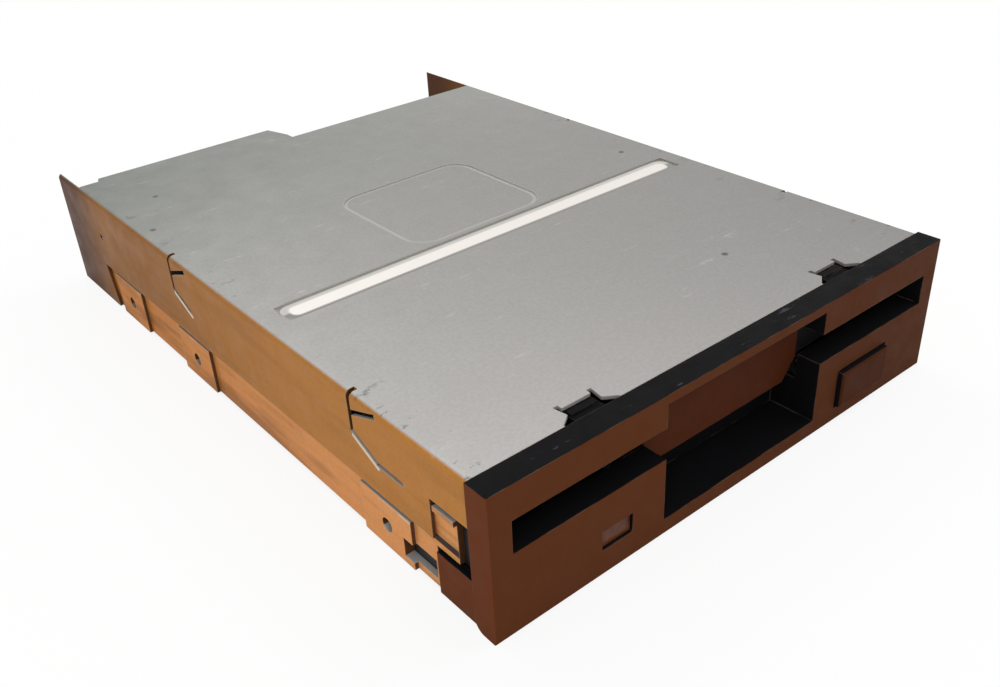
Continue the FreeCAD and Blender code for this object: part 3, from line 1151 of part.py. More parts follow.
def flat_cables():
    board_top = f"({base_top} + motor_board)"
    gap_z = "(main_board_z + main_board)"
    strip_x = ("13.5", "20.5")
    edge = motor_board_end
    set_node("motor_flex", slab("x", [
        (f"{edge} - 3.4", board_top), (f"{edge} - 3.4", f"{board_top} + 0.25"), (f"{edge} + 0.6", f"{board_top} + 0.25"),
        (f"{edge} + 2", f"{base_top} + 0.3"), ("87.8", f"{base_top} + 0.3"), ("87.8", f"{gap_z} + 0.2"),
        ("95", f"{gap_z} + 0.2"), ("95", gap_z), ("87.55", gap_z), ("87.55", f"{base_top} + 0.05"),
        (f"{edge} + 1.9", f"{base_top} + 0.05"), (f"{edge} + 0.5", board_top),
    ], strip_x))
    deck = "(rod_z + 2.2)"
    socket_y = ("rod_end - 2.4", "rod_end + 1.6")
    set_node("head_socket", block(both("5.4"), socket_y, (base_top, f"{base_top} + 2.2")))
    set_node("head_flex", slab("x", [
        ("head_y + 26.1", deck), ("head_y + 26.1", f"{deck} + 0.2"), ("rod_end - 1.6", f"{deck} + 0.2"),
        ("rod_end - 0.6", f"{deck} - 0.8"), ("rod_end - 0.6", f"{base_top} + 2.2"),
        ("rod_end - 0.8", f"{base_top} + 2.2"), ("rod_end - 0.8", f"{deck} - 0.9"), ("rod_end - 1.7", deck),
    ], both("4")))


def build():
    front_bezel()
    top_cover()
    chassis_frame()
    eject_parts()
    dust_door()
    disk_parts()
    screws = spindle_parts()
    head_parts()
    screws += stepper_parts()
    main_board_parts()
    screws += sensing_parts()
    set_node("frame_screws", *screws)
    flat_cables()


build()
doc.recompute()
for thing in doc.Objects:
    if "Invalid" in thing.State or "Error" in thing.State:
        raise RuntimeError(f"{thing.Label} failed: {thing.State}")
for thing in nodes:
    if thing.Shape.isNull() or not thing.Shape.isValid():
        raise RuntimeError(f"{thing.Label} has no valid shape")
for thing in nodes:
    thing.Shape.exportStep(f"parts/{thing.Label}.step")
    box = thing.Shape.BoundBox
    print(f"{thing.Label}: {len(thing.Shape.Solids)} solids, {thing.Shape.Volume:.1f} mm3, "
          f"x {box.XMin:.1f} {box.XMax:.1f}, y {box.YMin:.1f} {box.YMax:.1f}, z {box.ZMin:.1f} {box.ZMax:.1f}")
print(len(nodes), "nodes")
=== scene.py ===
import bmesh
import bpy
import math
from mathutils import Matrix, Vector


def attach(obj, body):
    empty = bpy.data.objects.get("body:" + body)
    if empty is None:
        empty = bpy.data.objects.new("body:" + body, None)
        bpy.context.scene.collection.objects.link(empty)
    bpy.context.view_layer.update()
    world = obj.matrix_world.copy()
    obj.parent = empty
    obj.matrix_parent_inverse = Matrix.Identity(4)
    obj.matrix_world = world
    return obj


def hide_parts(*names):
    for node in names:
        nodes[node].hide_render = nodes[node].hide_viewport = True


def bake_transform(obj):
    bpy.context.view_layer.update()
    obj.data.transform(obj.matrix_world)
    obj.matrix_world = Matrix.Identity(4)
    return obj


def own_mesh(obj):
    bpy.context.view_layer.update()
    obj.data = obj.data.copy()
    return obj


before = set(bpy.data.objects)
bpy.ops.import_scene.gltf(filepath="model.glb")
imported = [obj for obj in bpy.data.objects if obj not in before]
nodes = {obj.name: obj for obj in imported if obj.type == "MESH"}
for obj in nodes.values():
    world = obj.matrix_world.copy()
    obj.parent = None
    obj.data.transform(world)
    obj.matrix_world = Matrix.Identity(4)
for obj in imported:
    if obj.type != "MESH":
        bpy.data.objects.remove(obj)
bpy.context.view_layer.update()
mm = 0.001
print("frame loaded with", len(nodes), "nodes")


# camera, from the bezel's corners in the photograph

view = {
    "place": (-0.10788, -0.15228, 0.10586),
    "turn": (58.714, 2.796, -39.652),  # degrees
    "lens": 36.95,
    "sensor": 36,
}

eye = bpy.data.cameras.new("camera")
eye.lens = view["lens"]
eye.sensor_width = view["sensor"]
eye.sensor_fit = "HORIZONTAL"
eye.clip_start = 0.005
camera = bpy.data.objects.new("camera", eye)
camera.location = view["place"]
camera.rotation_euler = [math.radians(angle) for angle in view["turn"]]
bpy.context.scene.collection.objects.link(camera)
bpy.context.scene.camera = camera
bpy.context.scene.view_settings.view_transform = "Standard"
print("camera set")


# small helpers for the node trees

def tone(code):
    # a colour as seen on screen, such as "c0bcb9", in the renderer's linear values
    parts = [int(code[i:i + 2], 16) / 255 for i in (0, 2, 4)]
    return tuple(p / 12.92 if p <= 0.04045 else ((p + 0.055) / 1.055) ** 2.4 for p in parts) + (1,)


def scaled(colour, factor):
    return tuple(min(1, part * factor) for part in colour[:3]) + (1,)


def wire(tree, value, socket):
    if isinstance(value, bpy.types.NodeSocket):
        tree.links.new(value, socket)
    elif value is not None:
        socket.default_value = value


def calc(tree, operation, a, b=None, c=None):
    node = tree.nodes.new("ShaderNodeMath")
    node.operation = operation
    for value, socket in zip((a, b, c), node.inputs):
        wire(tree, value, socket)
    return node.outputs[0]


def spread(tree, value, low, high, outLow=0.0, outHigh=1.0, smooth=True):
    node = tree.nodes.new("ShaderNodeMapRange")
    node.interpolation_type = "SMOOTHSTEP" if smooth else "LINEAR"
    for value, socket in zip((value, low, high, outLow, outHigh), node.inputs):
        wire(tree, value, socket)
    return node.outputs[0]


def inBand(tree, value, low, high, soft):
    rise = spread(tree, value, low - soft, low + soft)
    fall = spread(tree, value, high - soft, high + soft, 1.0, 0.0)
    return calc(tree, "MULTIPLY", rise, fall)


def blendTones(tree, share, first, second, mode="MIX"):
    node = tree.nodes.new("ShaderNodeMix")
    node.data_type = "RGBA"
    node.blend_type = mode
    wire(tree, share, node.inputs[0])
    wire(tree, first, node.inputs[6])
    wire(tree, second, node.inputs[7])
    return node.outputs[2]


def noise(tree, spot, scale, detail=3.0, roughness=0.55):
    node = tree.nodes.new("ShaderNodeTexNoise")
    wire(tree, spot, node.inputs["Vector"])
    node.inputs["Scale"].default_value = scale
    node.inputs["Detail"].default_value = detail
    node.inputs["Roughness"].default_value = roughness
    return node.outputs["Fac"]


def stretched(tree, spot, stretch):
    node = tree.nodes.new("ShaderNodeVectorMath")
    node.operation = "MULTIPLY"
    wire(tree, spot, node.inputs[0])
    node.inputs[1].default_value = stretch
    return node.outputs[0]


def roundedBox(tree, x, y, half, radius):
    # how far a point is outside a rounded rectangle, and below 0 inside it
    outX = calc(tree, "ADD", calc(tree, "ABSOLUTE", x), radius - half[0])
    outY = calc(tree, "ADD", calc(tree, "ABSOLUTE", y), radius - half[1])
    sumX = calc(tree, "POWER", calc(tree, "MAXIMUM", outX, 0.0), 2.0)
    sumY = calc(tree, "POWER", calc(tree, "MAXIMUM", outY, 0.0), 2.0)
    corner = calc(tree, "SQRT", calc(tree, "ADD", sumX, sumY))
    inner = calc(tree, "MINIMUM", calc(tree, "MAXIMUM", outX, outY), 0.0)
    return calc(tree, "SUBTRACT", calc(tree, "ADD", corner, inner), radius)


def fromLine(tree, y, z, start, end):
    # how far a point of the side is from a straight line on it
    dy, dz = end[0] - start[0], end[1] - start[1]
    size = dy * dy + dz * dz
    backY = calc(tree, "SUBTRACT", y, start[0])
    backZ = calc(tree, "SUBTRACT", z, start[1])
    share = calc(tree, "ADD", calc(tree, "MULTIPLY", backY, dy / size), calc(tree, "MULTIPLY", backZ, dz / size))
    share = calc(tree, "MINIMUM", calc(tree, "MAXIMUM", share, 0.0), 1.0)
    missY = calc(tree, "SUBTRACT", backY, calc(tree, "MULTIPLY", share, dy))
    missZ = calc(tree, "SUBTRACT", backZ, calc(tree, "MULTIPLY", share, dz))
    return calc(tree, "SQRT", calc(tree, "ADD", calc(tree, "POWER", missY, 2.0), calc(tree, "POWER", missZ, 2.0)))


def fromPoint(tree, spot, place):
    node = tree.nodes.new("ShaderNodeVectorMath")
    node.operation = "DISTANCE"
    wire(tree, spot, node.inputs[0])
    node.inputs[1].default_value = place
    return node.outputs["Value"]


def apart(tree, vector):
    node = tree.nodes.new("ShaderNodeSeparateXYZ")
    wire(tree, vector, node.inputs[0])
    return node.outputs


class Finish:
    # one material, with the sockets that its own steps start from

    def __init__(self, name):
        self.material = bpy.data.materials.new(name)
        self.material.use_nodes = True
        self.tree = self.material.node_tree
        self.shader = self.tree.nodes["Principled BSDF"]
        where = self.tree.nodes.new("ShaderNodeTexCoord")
        self.spot = where.outputs["Object"]
        self.x, self.y, self.z = apart(self.tree, self.spot)
        self.facing = apart(self.tree, where.outputs["Normal"])

    def fixed(self, **values):
        for name, value in values.items():
            self.shader.inputs[name.replace("_", " ")].default_value = value
        return self

    def colour(self, value):
        wire(self.tree, value, self.shader.inputs["Base Color"])

    def rough(self, low, high, scale):
        grain = noise(self.tree, self.spot, scale)
        value = spread(self.tree, grain, 0.3, 0.7, low, high, False)
        wire(self.tree, value, self.shader.inputs["Roughness"])

    def relief(self, height, depth, soften=0.0):
        bump = self.tree.nodes.new("ShaderNodeBump")
        bump.inputs["Strength"].default_value = 1.0
        bump.inputs["Distance"].default_value = depth
        wire(self.tree, height, bump.inputs["Height"])
        if soften:
            rounded = self.tree.nodes.new("ShaderNodeBevel")
            rounded.samples = 4
            rounded.inputs["Radius"].default_value = soften
            wire(self.tree, rounded.outputs[0], bump.inputs["Normal"])
        wire(self.tree, bump.outputs[0], self.shader.inputs["Normal"])

    def edges(self, radius, low=0.02, high=0.25):
        # 1 along the outer edges, where the painted edge highlights go
        rounded = self.tree.nodes.new("ShaderNodeBevel")
        rounded.samples = 4
        rounded.inputs["Radius"].default_value = radius
        plain = self.tree.nodes.new("ShaderNodeNewGeometry")
        dot = self.tree.nodes.new("ShaderNodeVectorMath")
        dot.operation = "DOT_PRODUCT"
        wire(self.tree, rounded.outputs[0], dot.inputs[0])
        wire(self.tree, plain.outputs["Normal"], dot.inputs[1])
        return spread(self.tree, calc(self.tree, "SUBTRACT", 1.0, dot.outputs["Value"]), low, high)


# zinc-plated cover and chassis: grey on top, with a painted warm reflection of the wooden table on the outer sides
# that face it

sheetLook = {
    # topFront and topRear are painted light and shade: the top's grey changes from left to right and from front to
    # rear
    "topFront": (tone("b3b0ad"), tone("8c8a88")),  # left and right
    "topRear": (tone("747771"), tone("969591")),
    # flange and wall tones are the painted reflection of the wooden table on the sides
    "flangeFront": tone("b67a34"),
    "flangeRear": tone("8e5a1a"),
    "wallFront": tone("dc985a"),
    "wallRear": tone("c47e36"),
    # earTip is painted shade, darkening the sides towards the rear ear tips
    "earTip": tone("401c06"),
    # cutEdge is painted shade and reflection, dark brown on outer faces that don't look up, such as cut edges and slit
    # walls
    "cutEdge": tone("5c3a20"),
    # brightEdge is a painted highlight, on edges, slit arms and under the flange
    "brightEdge": tone("d9c8ae"),
    "channelFloor": tone("e4dfd9"),
    # slopeFar and slopeNear are painted light and shade on the channel's two slopes
    "slopeFar": tone("c2bfbb"),
    "slopeNear": tone("8f8c89"),
    # painted shadow on the chassis wall just under the cover's flange
    "seam": tone("2a1a14"),
    "front": -70 * mm,
    "rear": 62 * mm,
    "metal": 0.3,
    "gloss": 0.12,
    "roughLow": 0.42,
    "roughHigh": 0.55,
    "outside": 47.8 * mm,  # past this, only the faces that look up are grey
    "channelMiddle": -16 * mm,
    "channelHalf": (46 * mm, 2.8 * mm),
    "floorHalf": (44.4 * mm, 1.55 * mm),
    "panelMiddle": 2.6 * mm,
    "panelHalf": (15.5 * mm, 14.5 * mm),
    "panelCorner": 5 * mm,
    "fingers": (-42.6 * mm, 18.5 * mm),
    # painted highlight along each slit's lower arm
    "slitGlint": ((0.25, 17.9), (6.1, 15.2)),  # mm in front of a finger's place, and z, at each end of its lower slit
    "specks": ((-47.5, 31.4), (42.9, -5.0), (-40.2, 47.0), (20.5, -52.0)),  # x and y in mm
    "topZ": 25.4 * mm,
    "speck": tone("3a3b3c"),
    # rim is a painted shade line along the channel's far edge
    "rim": tone("5c5a58"),
    # ridge is the painted highlight along the pressed panel's rolled edge
    "ridge": tone("b9b8b5"),
    "mark": tone("4c4e4f"),
    "scratch": tone("cfccc8"),
    "flangeBottom": 10.2 * mm,
}


def sheetMetal(name, isCover):
    look = sheetLook
    sheet = Finish(name)
    tree = sheet.tree
    sheet.fixed(Metallic=look["metal"], Specular_IOR_Level=look["gloss"])
    along = spread(tree, sheet.y, look["front"], look["rear"])
    cloud = noise(tree, sheet.spot, 14, 2)
    drift = calc(tree, "ADD", along, spread(tree, cloud, 0.3, 0.7, -0.1, 0.1, False))
    across = spread(tree, sheet.x, -50 * mm, 50 * mm, 0.0, 1.0, False)
    cloudy = calc(tree, "ADD", sheet.y, spread(tree, cloud, 0.3, 0.7, -6 * mm, 6 * mm, False))
    back = spread(tree, cloudy, look["front"], look["rear"], 0.0, 1.0, False)
    # painted light and shade across the top, blended by place from front to rear and left to right
    frontGrey = blendTones(tree, across, *look["topFront"])
    grey = blendTones(tree, back, frontGrey, blendTones(tree, across, *look["topRear"]))
    # painted reflection of the wooden table on the sides, changing from front to rear
    if isCover:
        warm = blendTones(tree, drift, look["flangeFront"], look["flangeRear"])
    else:
        warm = blendTones(tree, drift, look["wallFront"], look["wallRear"])
    # painted shade: the sides darken towards the rear ear tips
    tip = spread(tree, sheet.y, 50 * mm, 72 * mm)
    warm = blendTones(tree, calc(tree, "MULTIPLY", tip, 0.9), warm, look["earTip"])
    # painted reflection of the table's grain, as streaks on the polished side
    streaks = noise(tree, stretched(tree, sheet.spot, (50, 30, 330)), 1.0, 3)
    streakDepth = 0.14 if isCover else 0.4
    warm = blendTones(tree, spread(tree, streaks, 0.42, 0.66, 0.0, streakDepth), warm, look["earTip"])
    if not isCover:
        # painted shadow: a dark band on the chassis wall just under the cover's flange
        seam = inBand(tree, sheet.z, look["flangeBottom"] - 0.75 * mm, look["flangeBottom"] + 0.5 * mm, 0.1 * mm)
        warm = blendTones(tree, seam, warm, look["seam"])
        # painted highlight: a broken bright line on the wall just below that shadow
        lit = inBand(tree, sheet.z, look["flangeBottom"] - 1.25 * mm, look["flangeBottom"] - 0.95 * mm, 0.1 * mm)
        broken = spread(tree, noise(tree, stretched(tree, sheet.spot, (1, 60, 1)), 1.0, 2), 0.48, 0.6)
        warm = blendTones(tree, calc(tree, "MULTIPLY", lit, broken), warm, look["brightEdge"])
    # outer faces that look sideways take the painted side reflection
    sideways = spread(tree, calc(tree, "ABSOLUTE", sheet.facing[0]), 0.35, 0.8)
    outer = calc(tree, "GREATER_THAN", calc(tree, "ABSOLUTE", sheet.x), look["outside"])
    side = calc(tree, "MULTIPLY", sideways, outer)
    up = calc(tree, "GREATER_THAN", sheet.facing[2], 0.5)
    # painted shade: outer faces that don't look up, such as cut edges, take cutEdge unless they look sideways
    cut = calc(tree, "MULTIPLY", outer, calc(tree, "SUBTRACT", 1.0, up))
    colour = blendTones(tree, side, blendTones(tree, cut, grey, look["cutEdge"]), warm)
    grain = noise(tree, sheet.spot, 1500, 4, 0.7)
    colour = blendTones(tree, spread(tree, grain, 0.38, 0.62, 0.0, 0.09), colour, (0.2, 0.2, 0.2, 1), "MULTIPLY")
    fine = calc(tree, "MULTIPLY", noise(tree, sheet.spot, 2600, 3), 0.04)
    broad = calc(tree, "MULTIPLY", noise(tree, sheet.spot, 45, 1), 0.3)
    height = calc(tree, "ADD", fine, broad)
    if isCover:
        # pressed channel, white in its bottom, with painted light on its far slope, painted shade on its near slope
        # and a painted shade line along its far rim
        acrossChannel = calc(tree, "SUBTRACT", sheet.y, look["channelMiddle"])
        channel = roundedBox(tree, sheet.x, acrossChannel, look["channelHalf"], 2.4 * mm)
        bottom = roundedBox(tree, sheet.x, acrossChannel, look["floorHalf"], 1.3 * mm)
        onSlope = calc(tree, "MULTIPLY", up, spread(tree, channel, -0.25 * mm, 0.25 * mm, 1.0, 0.0))
        farSide = spread(tree, acrossChannel, -0.3 * mm, 0.3 * mm)
        slope = blendTones(tree, farSide, look["slopeNear"], look["slopeFar"])
        colour = blendTones(tree, onSlope, colour, slope)
        onFloor = calc(tree, "MULTIPLY", onSlope, spread(tree, bottom, -0.3 * mm, 0.35 * mm, 1.0, 0.0))
        colour = blendTones(tree, onFloor, colour, look["channelFloor"])
        rim = calc(tree, "MULTIPLY", up, inBand(tree, channel, -0.15 * mm, 0.2 * mm, 0.12 * mm))
        rim = calc(tree, "MULTIPLY", rim, calc(tree, "MULTIPLY", farSide, 0.55))
        colour = blendTones(tree, rim, colour, look["rim"])
        height = calc(tree, "ADD", height, calc(tree, "MULTIPLY", spread(tree, bottom, -0.2 * mm, 1.5 * mm), 3.0))
        # rolled edge of the pressed panel, with a painted highlight line along it
        acrossPanel = calc(tree, "SUBTRACT", sheet.y, look["panelMiddle"])
        panel = roundedBox(tree, sheet.x, acrossPanel, look["panelHalf"], look["panelCorner"])
        ridge = inBand(tree, panel, -0.75 * mm, 0.05 * mm, 0.3 * mm)
        shown = calc(tree, "MULTIPLY", calc(tree, "MULTIPLY", ridge, up), 0.5)
        colour = blendTones(tree, shown, colour, look["ridge"])
        height = calc(tree, "ADD", height, calc(tree, "MULTIPLY", ridge, 1.2))
        # handling marks, mostly along the edges of the top
        marks = noise(tree, stretched(tree, sheet.spot, (260, 420, 260)), 1.0, 5, 0.75)
        nearEdge = spread(tree, calc(tree, "ABSOLUTE", sheet.x), 43 * mm, 49.5 * mm)
        dark = calc(tree, "MULTIPLY", spread(tree, marks, 0.6, 0.66), calc(tree, "MULTIPLY", nearEdge, up))
        colour = blendTones(tree, calc(tree, "MULTIPLY", dark, 0.6), colour, look["mark"])
        scratches = noise(tree, stretched(tree, sheet.spot, (90, 420, 90)), 1.0, 6, 0.7)
        pale = calc(tree, "MULTIPLY", spread(tree, scratches, 0.63, 0.72), up)
        colour = blendTones(tree, calc(tree, "MULTIPLY", pale, 0.3), colour, look["scratch"])
        for x, y in look["specks"]:
            away = fromPoint(tree, sheet.spot, (x * mm, y * mm, look["topZ"]))
            speck = spread(tree, away, 0.35 * mm, 0.8 * mm, 0.75, 0.0)
            colour = blendTones(tree, speck, colour, look["speck"])
        # painted highlight on the lower arm of each slit, where the cut sheet edge catches the light
        for finger in look["fingers"]:
            ends = [(finger - back * mm, z * mm) for back, z in look["slitGlint"]]
            slitGlint = spread(tree, fromLine(tree, sheet.y, sheet.z, *ends), 0.3 * mm, 0.55 * mm, 1.0, 0.0)
            colour = blendTones(tree, calc(tree, "MULTIPLY", slitGlint, side), colour, look["brightEdge"])
    # painted highlight along the edges
    edgeGlint = sheet.edges(0.22 * mm)
    colour = blendTones(tree, calc(tree, "MULTIPLY", edgeGlint, 0.45), colour, look["brightEdge"])
    sheet.colour(colour)
    sheet.rough(look["roughLow"], look["roughHigh"], 220)
    sheet.relief(height, 0.12 * mm, 0.2 * mm)
    return sheet.material


# moulded bezel: near black, with a painted dark brown reflection of the warm light where its outside faces it

bezelLook = {
    "black": tone("0f0e10"),
    "topScuff": tone("55555a"),
    # front, rampTone, end and button are painted reflections of the warm light on the black plastic
    "front": tone("542c14"),
    "rampTone": tone("49220f"),
    "end": tone("62331a"),
    "button": tone("48230f"),
    "highlight": tone("a08a78"),
    "roughLow": 0.5,
    "roughHigh": 0.66,
    "gloss": 0.04,
    "faceY": -74.0 * mm,
    "endX": 49.3 * mm,
    "rampHalf": 17.9 * mm,
    "recessTop": 19 * mm,
    "topZ": 25 * mm,
}


def bezelPlastic(name, kind):
    look = bezelLook
    plastic = Finish(name)
    tree = plastic.tree
    plastic.fixed(Specular_IOR_Level=look["gloss"])
    sideX = calc(tree, "ABSOLUTE", plastic.x)
    ahead = spread(tree, plastic.facing[1], -0.5, -0.25, 1.0, 0.0)
    onFace = calc(tree, "LESS_THAN", plastic.y, look["faceY"])
    middle = calc(tree, "LESS_THAN", sideX, look["rampHalf"])
    if kind == "bezel":
        aboveRecess = calc(tree, "GREATER_THAN", plastic.z, look["recessTop"])
        lit = calc(tree, "MAXIMUM", onFace, calc(tree, "MULTIPLY", middle, aboveRecess))
    elif kind == "door":
        lit = middle
    else:
        lit = onFace
    # painted reflection on the forward faces the light reaches, darker towards the right
    share = spread(tree, plastic.x, -50 * mm, 50 * mm)
    cloud = noise(tree, plastic.spot, 30, 3)
    share = calc(tree, "ADD", calc(tree, "MULTIPLY", share, 0.8), spread(tree, cloud, 0.3, 0.7, -0.1, 0.2, False))
    brown = {"bezel": look["front"], "door": look["rampTone"], "button": look["button"]}[kind]
    front = blendTones(tree, share, brown, scaled(brown, 0.72))
    colour = blendTones(tree, calc(tree, "MULTIPLY", ahead, lit), look["black"], front)
    if kind == "bezel":
        # painted reflection on the bezel's outer ends
        sideways = spread(tree, calc(tree, "ABSOLUTE", plastic.facing[0]), 0.35, 0.8)
        outer = calc(tree, "MULTIPLY", sideways, calc(tree, "GREATER_THAN", sideX, look["endX"]))
        colour = blendTones(tree, outer, colour, look["end"])
    high = calc(tree, "GREATER_THAN", plastic.z, look["topZ"])
    top = calc(tree, "MULTIPLY", spread(tree, plastic.facing[2], 0.5, 0.8), high)
    scuffs = noise(tree, stretched(tree, plastic.spot, (140, 700, 140)), 1.0, 5, 0.75)
    scuffed = calc(tree, "MULTIPLY", top, spread(tree, scuffs, 0.61, 0.7, 0.0, 0.6))
    colour = blendTones(tree, scuffed, colour, look["topScuff"])
    patches = spread(tree, noise(tree, plastic.spot, 190, 4), 0.4, 0.66)
    # painted highlight along the edges, in patches
    edgeGlint = calc(tree, "MULTIPLY", plastic.edges(0.25 * mm), patches)
    colour = blendTones(tree, calc(tree, "MULTIPLY", edgeGlint, 0.4), colour, look["highlight"])
    plastic.colour(colour)
    plastic.rough(look["roughLow"], look["roughHigh"], 300)
    plastic.relief(noise(tree, plastic.spot, 1800, 4, 0.6), 0.03 * mm, 0.3 * mm)
    return plastic.material


# plainer finishes of the works inside, one line each: colour, second colour, metal, roughness, grain per metre, relief

innerLooks = {
    "slideSteel": ("a9aaa6", "8d8e8a", 0.75, 0.38, 700, 0.02),
    "pinSteel": ("c9c9c8", "a5a6a6", 0.95, 0.22, 1500, 0.004),
    "springSteel": ("9a9a98", "77787a", 0.9, 0.3, 2500, 0.004),
    "leverAcetal": ("d9d4c6", "c8c2b2", 0.0, 0.42, 500, 0.01),
    "bearingBronze": ("a5804a", "86622f", 0.8, 0.45, 1200, 0.01),
    "magnetFerrite": ("2b2a29", "1c1b1b", 0.1, 0.62, 1600, 0.02),
    "seatAcetal": ("e4e0d4", "d2cdbd", 0.0, 0.33, 400, 0.006),
    "coreLacquer": ("34403a", "232c27", 0.2, 0.5, 900, 0.02),
    "chipEpoxy": ("1b1b1d", "101012", 0.0, 0.55, 2200, 0.015),
    "carriagePlastic": ("2a2a2d", "1d1d1f", 0.0, 0.5, 1300, 0.02),
    "headCeramic": ("6b625b", "524a45", 0.0, 0.2, 900, 0.003),
    "armSteel": ("b3b3b0", "96968f", 0.8, 0.35, 800, 0.015),
    "supportPlastic": ("333336", "252528", 0.0, 0.52, 1100, 0.02),
    "screwZinc": ("b0ab9c", "8f8a7c", 0.85, 0.33, 1800, 0.012),
    "connectorPlastic": ("1e1e21", "131315", 0.0, 0.48, 1000, 0.02),
    "headerNylon": ("ded9c9", "cbc5b2", 0.0, 0.45, 700, 0.015),
    "contactGold": ("c9a85a", "a98a42", 0.95, 0.24, 1500, 0.004),
    "plungerAcetal": ("d6d6d2", "bdbdb8", 0.0, 0.35, 900, 0.006),
    "lampEpoxy": ("6f9a4a", "527a35", 0.0, 0.15, 600, 0.004),
    "solderTin": ("b9bbbd", "8d9093", 0.95, 0.25, 2600, 0.02),
}


def innerFinish(name):
    first, second, metal, rough, grain, depth = innerLooks[name]
    inner = Finish(name)
    tree = inner.tree
    inner.fixed(Metallic=metal)
    speckle = spread(tree, noise(tree, inner.spot, grain, 4, 0.65), 0.35, 0.65)
    cloud = spread(tree, noise(tree, inner.spot, grain / 12, 2), 0.3, 0.7)
    share = calc(tree, "ADD", calc(tree, "MULTIPLY", speckle, 0.35), calc(tree, "MULTIPLY", cloud, 0.5))
    colour = blendTones(tree, share, tone(first), tone(second))
    # painted highlight along the edges
    edgeGlint = calc(tree, "MULTIPLY", inner.edges(0.15 * mm), 0.35)
    inner.colour(blendTones(tree, edgeGlint, colour, scaled(tone(first), 1.5)))
    inner.rough(max(0.05, rough - 0.06), rough + 0.08, grain / 3)
    inner.relief(noise(tree, inner.spot, grain * 2, 3), depth * mm, 0.1 * mm)
    return inner.material


# boards: resist with copper tracks under it, green or dark

boardLooks = {
    "green": {"resist": tone("1f5a38"), "track": tone("2f7a4c"), "edge": tone("8f8a5a"), "trackPitch": 420},
    # dark is a near-black copy of the resist, so the sensor boards read as the shade inside the drive
    "dark": {"resist": tone("17130f"), "track": tone("241d16"), "edge": tone("2a2218"), "trackPitch": 420},
}


def boardFinish(name, kind):
    look = boardLooks[kind]
    board = Finish(name)
    tree = board.tree
    board.fixed(Coat_Weight=0.5, Coat_Roughness=0.2)
    cells = tree.nodes.new("ShaderNodeTexVoronoi")
    cells.distance = "MANHATTAN"
    cells.feature = "F1"
    wire(tree, stretched(tree, board.spot, (1, 1, 0)), cells.inputs["Vector"])
    cells.inputs["Scale"].default_value = look["trackPitch"]
    lines = calc(tree, "FRACT", calc(tree, "MULTIPLY", cells.outputs["Distance"], 2.5))
    track = inBand(tree, lines, 0.35, 0.65, 0.04)
    flat = spread(tree, calc(tree, "ABSOLUTE", board.facing[2]), 0.7, 0.9)
    colour = blendTones(tree, track, look["resist"], look["track"])
    colour = blendTones(tree, flat, look["edge"], colour)
    darker = spread(tree, noise(tree, board.spot, 60), 0.35, 0.65, 0, 0.3)
    board.colour(blendTones(tree, darker, colour, scaled(look["resist"], 0.6)))
    board.rough(0.28, 0.42, 400)
    board.relief(track, 0.02 * mm)
    return board.material


spindle = (0, -24.5 * mm, 0)


def coilFinish(name):
    # turns of enamelled wire side by side round each pole, with painted highlights on the turns and painted shade
    # between them
    coil = Finish(name)
    tree = coil.tree
    coil.fixed(Metallic=0.8)
    fromSpindle = fromPoint(tree, stretched(tree, coil.spot, (1, 1, 0)), spindle)
    turns = calc(tree, "SINE", calc(tree, "MULTIPLY", fromSpindle, 2 * math.pi / (0.32 * mm)))
    coil.colour(blendTones(tree, spread(tree, turns, -0.6, 0.8), tone("6b2f12"), tone("c8743a")))
    coil.rough(0.22, 0.36, 900)
    coil.relief(turns, 0.08 * mm)
    return coil.material


def turnedFinish(name, centre, axis, colours, pitch):
    # lathe marks round an axis through centre
    turned = Finish(name)
    tree = turned.tree
    turned.fixed(Metallic=0.9)
    flatten = [0 if i == axis else 1 for i in range(3)]
    away = fromPoint(tree, stretched(tree, turned.spot, flatten), [c * f for c, f in zip(centre, flatten)])
    wobble = calc(tree, "MULTIPLY", noise(tree, turned.spot, 90, 2), 0.6 * mm)
    rings = calc(tree, "SINE", calc(tree, "MULTIPLY", calc(tree, "ADD", away, wobble), 2 * math.pi / pitch))
    cloud = spread(tree, noise(tree, turned.spot, 70), 0.3, 0.7, 0.0, 0.5)
    share = calc(tree, "ADD", spread(tree, rings, -1, 1, 0.0, 0.5), cloud)
    turned.colour(blendTones(tree, share, tone(colours[0]), tone(colours[1])))
    turned.rough(0.2, 0.32, 500)
    turned.relief(rings, 0.01 * mm, 0.15 * mm)
    return turned.material


def threadFinish(name):
    # helical thread of the lead screw, drawn on its plain rod, with painted shade in the groove
    look = {"middleX": -22.5 * mm, "middleZ": 9.6 * mm, "lead": 3.75 * mm}
    thread = Finish(name)
    tree = thread.tree
    thread.fixed(Metallic=0.95)
    across = calc(tree, "SUBTRACT", thread.x, look["middleX"])
    up = calc(tree, "SUBTRACT", thread.z, look["middleZ"])
    angle = calc(tree, "DIVIDE", calc(tree, "ARCTAN2", up, across), 2 * math.pi)
    turn = calc(tree, "FRACT", calc(tree, "ADD", calc(tree, "DIVIDE", thread.y, look["lead"]), angle))
    groove = inBand(tree, turn, 0.3, 0.7, 0.12)
    thread.colour(blendTones(tree, groove, tone("c4c4c2"), tone("6e6c68")))
    thread.rough(0.2, 0.3, 900)
    thread.relief(calc(tree, "SUBTRACT", 1.0, groove), 0.25 * mm)
    return thread.material


def cableFinish(name):
    # amber film with the copper strips showing through
    film = Finish(name)
    tree = film.tree
    film.fixed(Coat_Weight=0.6, Coat_Roughness=0.15, IOR=1.5)
    strips = calc(tree, "SINE", calc(tree, "MULTIPLY", film.x, 2 * math.pi / (1.0 * mm)))
    film.colour(blendTones(tree, spread(tree, strips, -0.2, 0.2), tone("8a4a12"), tone("c27a2c")))
    film.rough(0.2, 0.3, 500)
    film.relief(strips, 0.02 * mm)
    return film.material


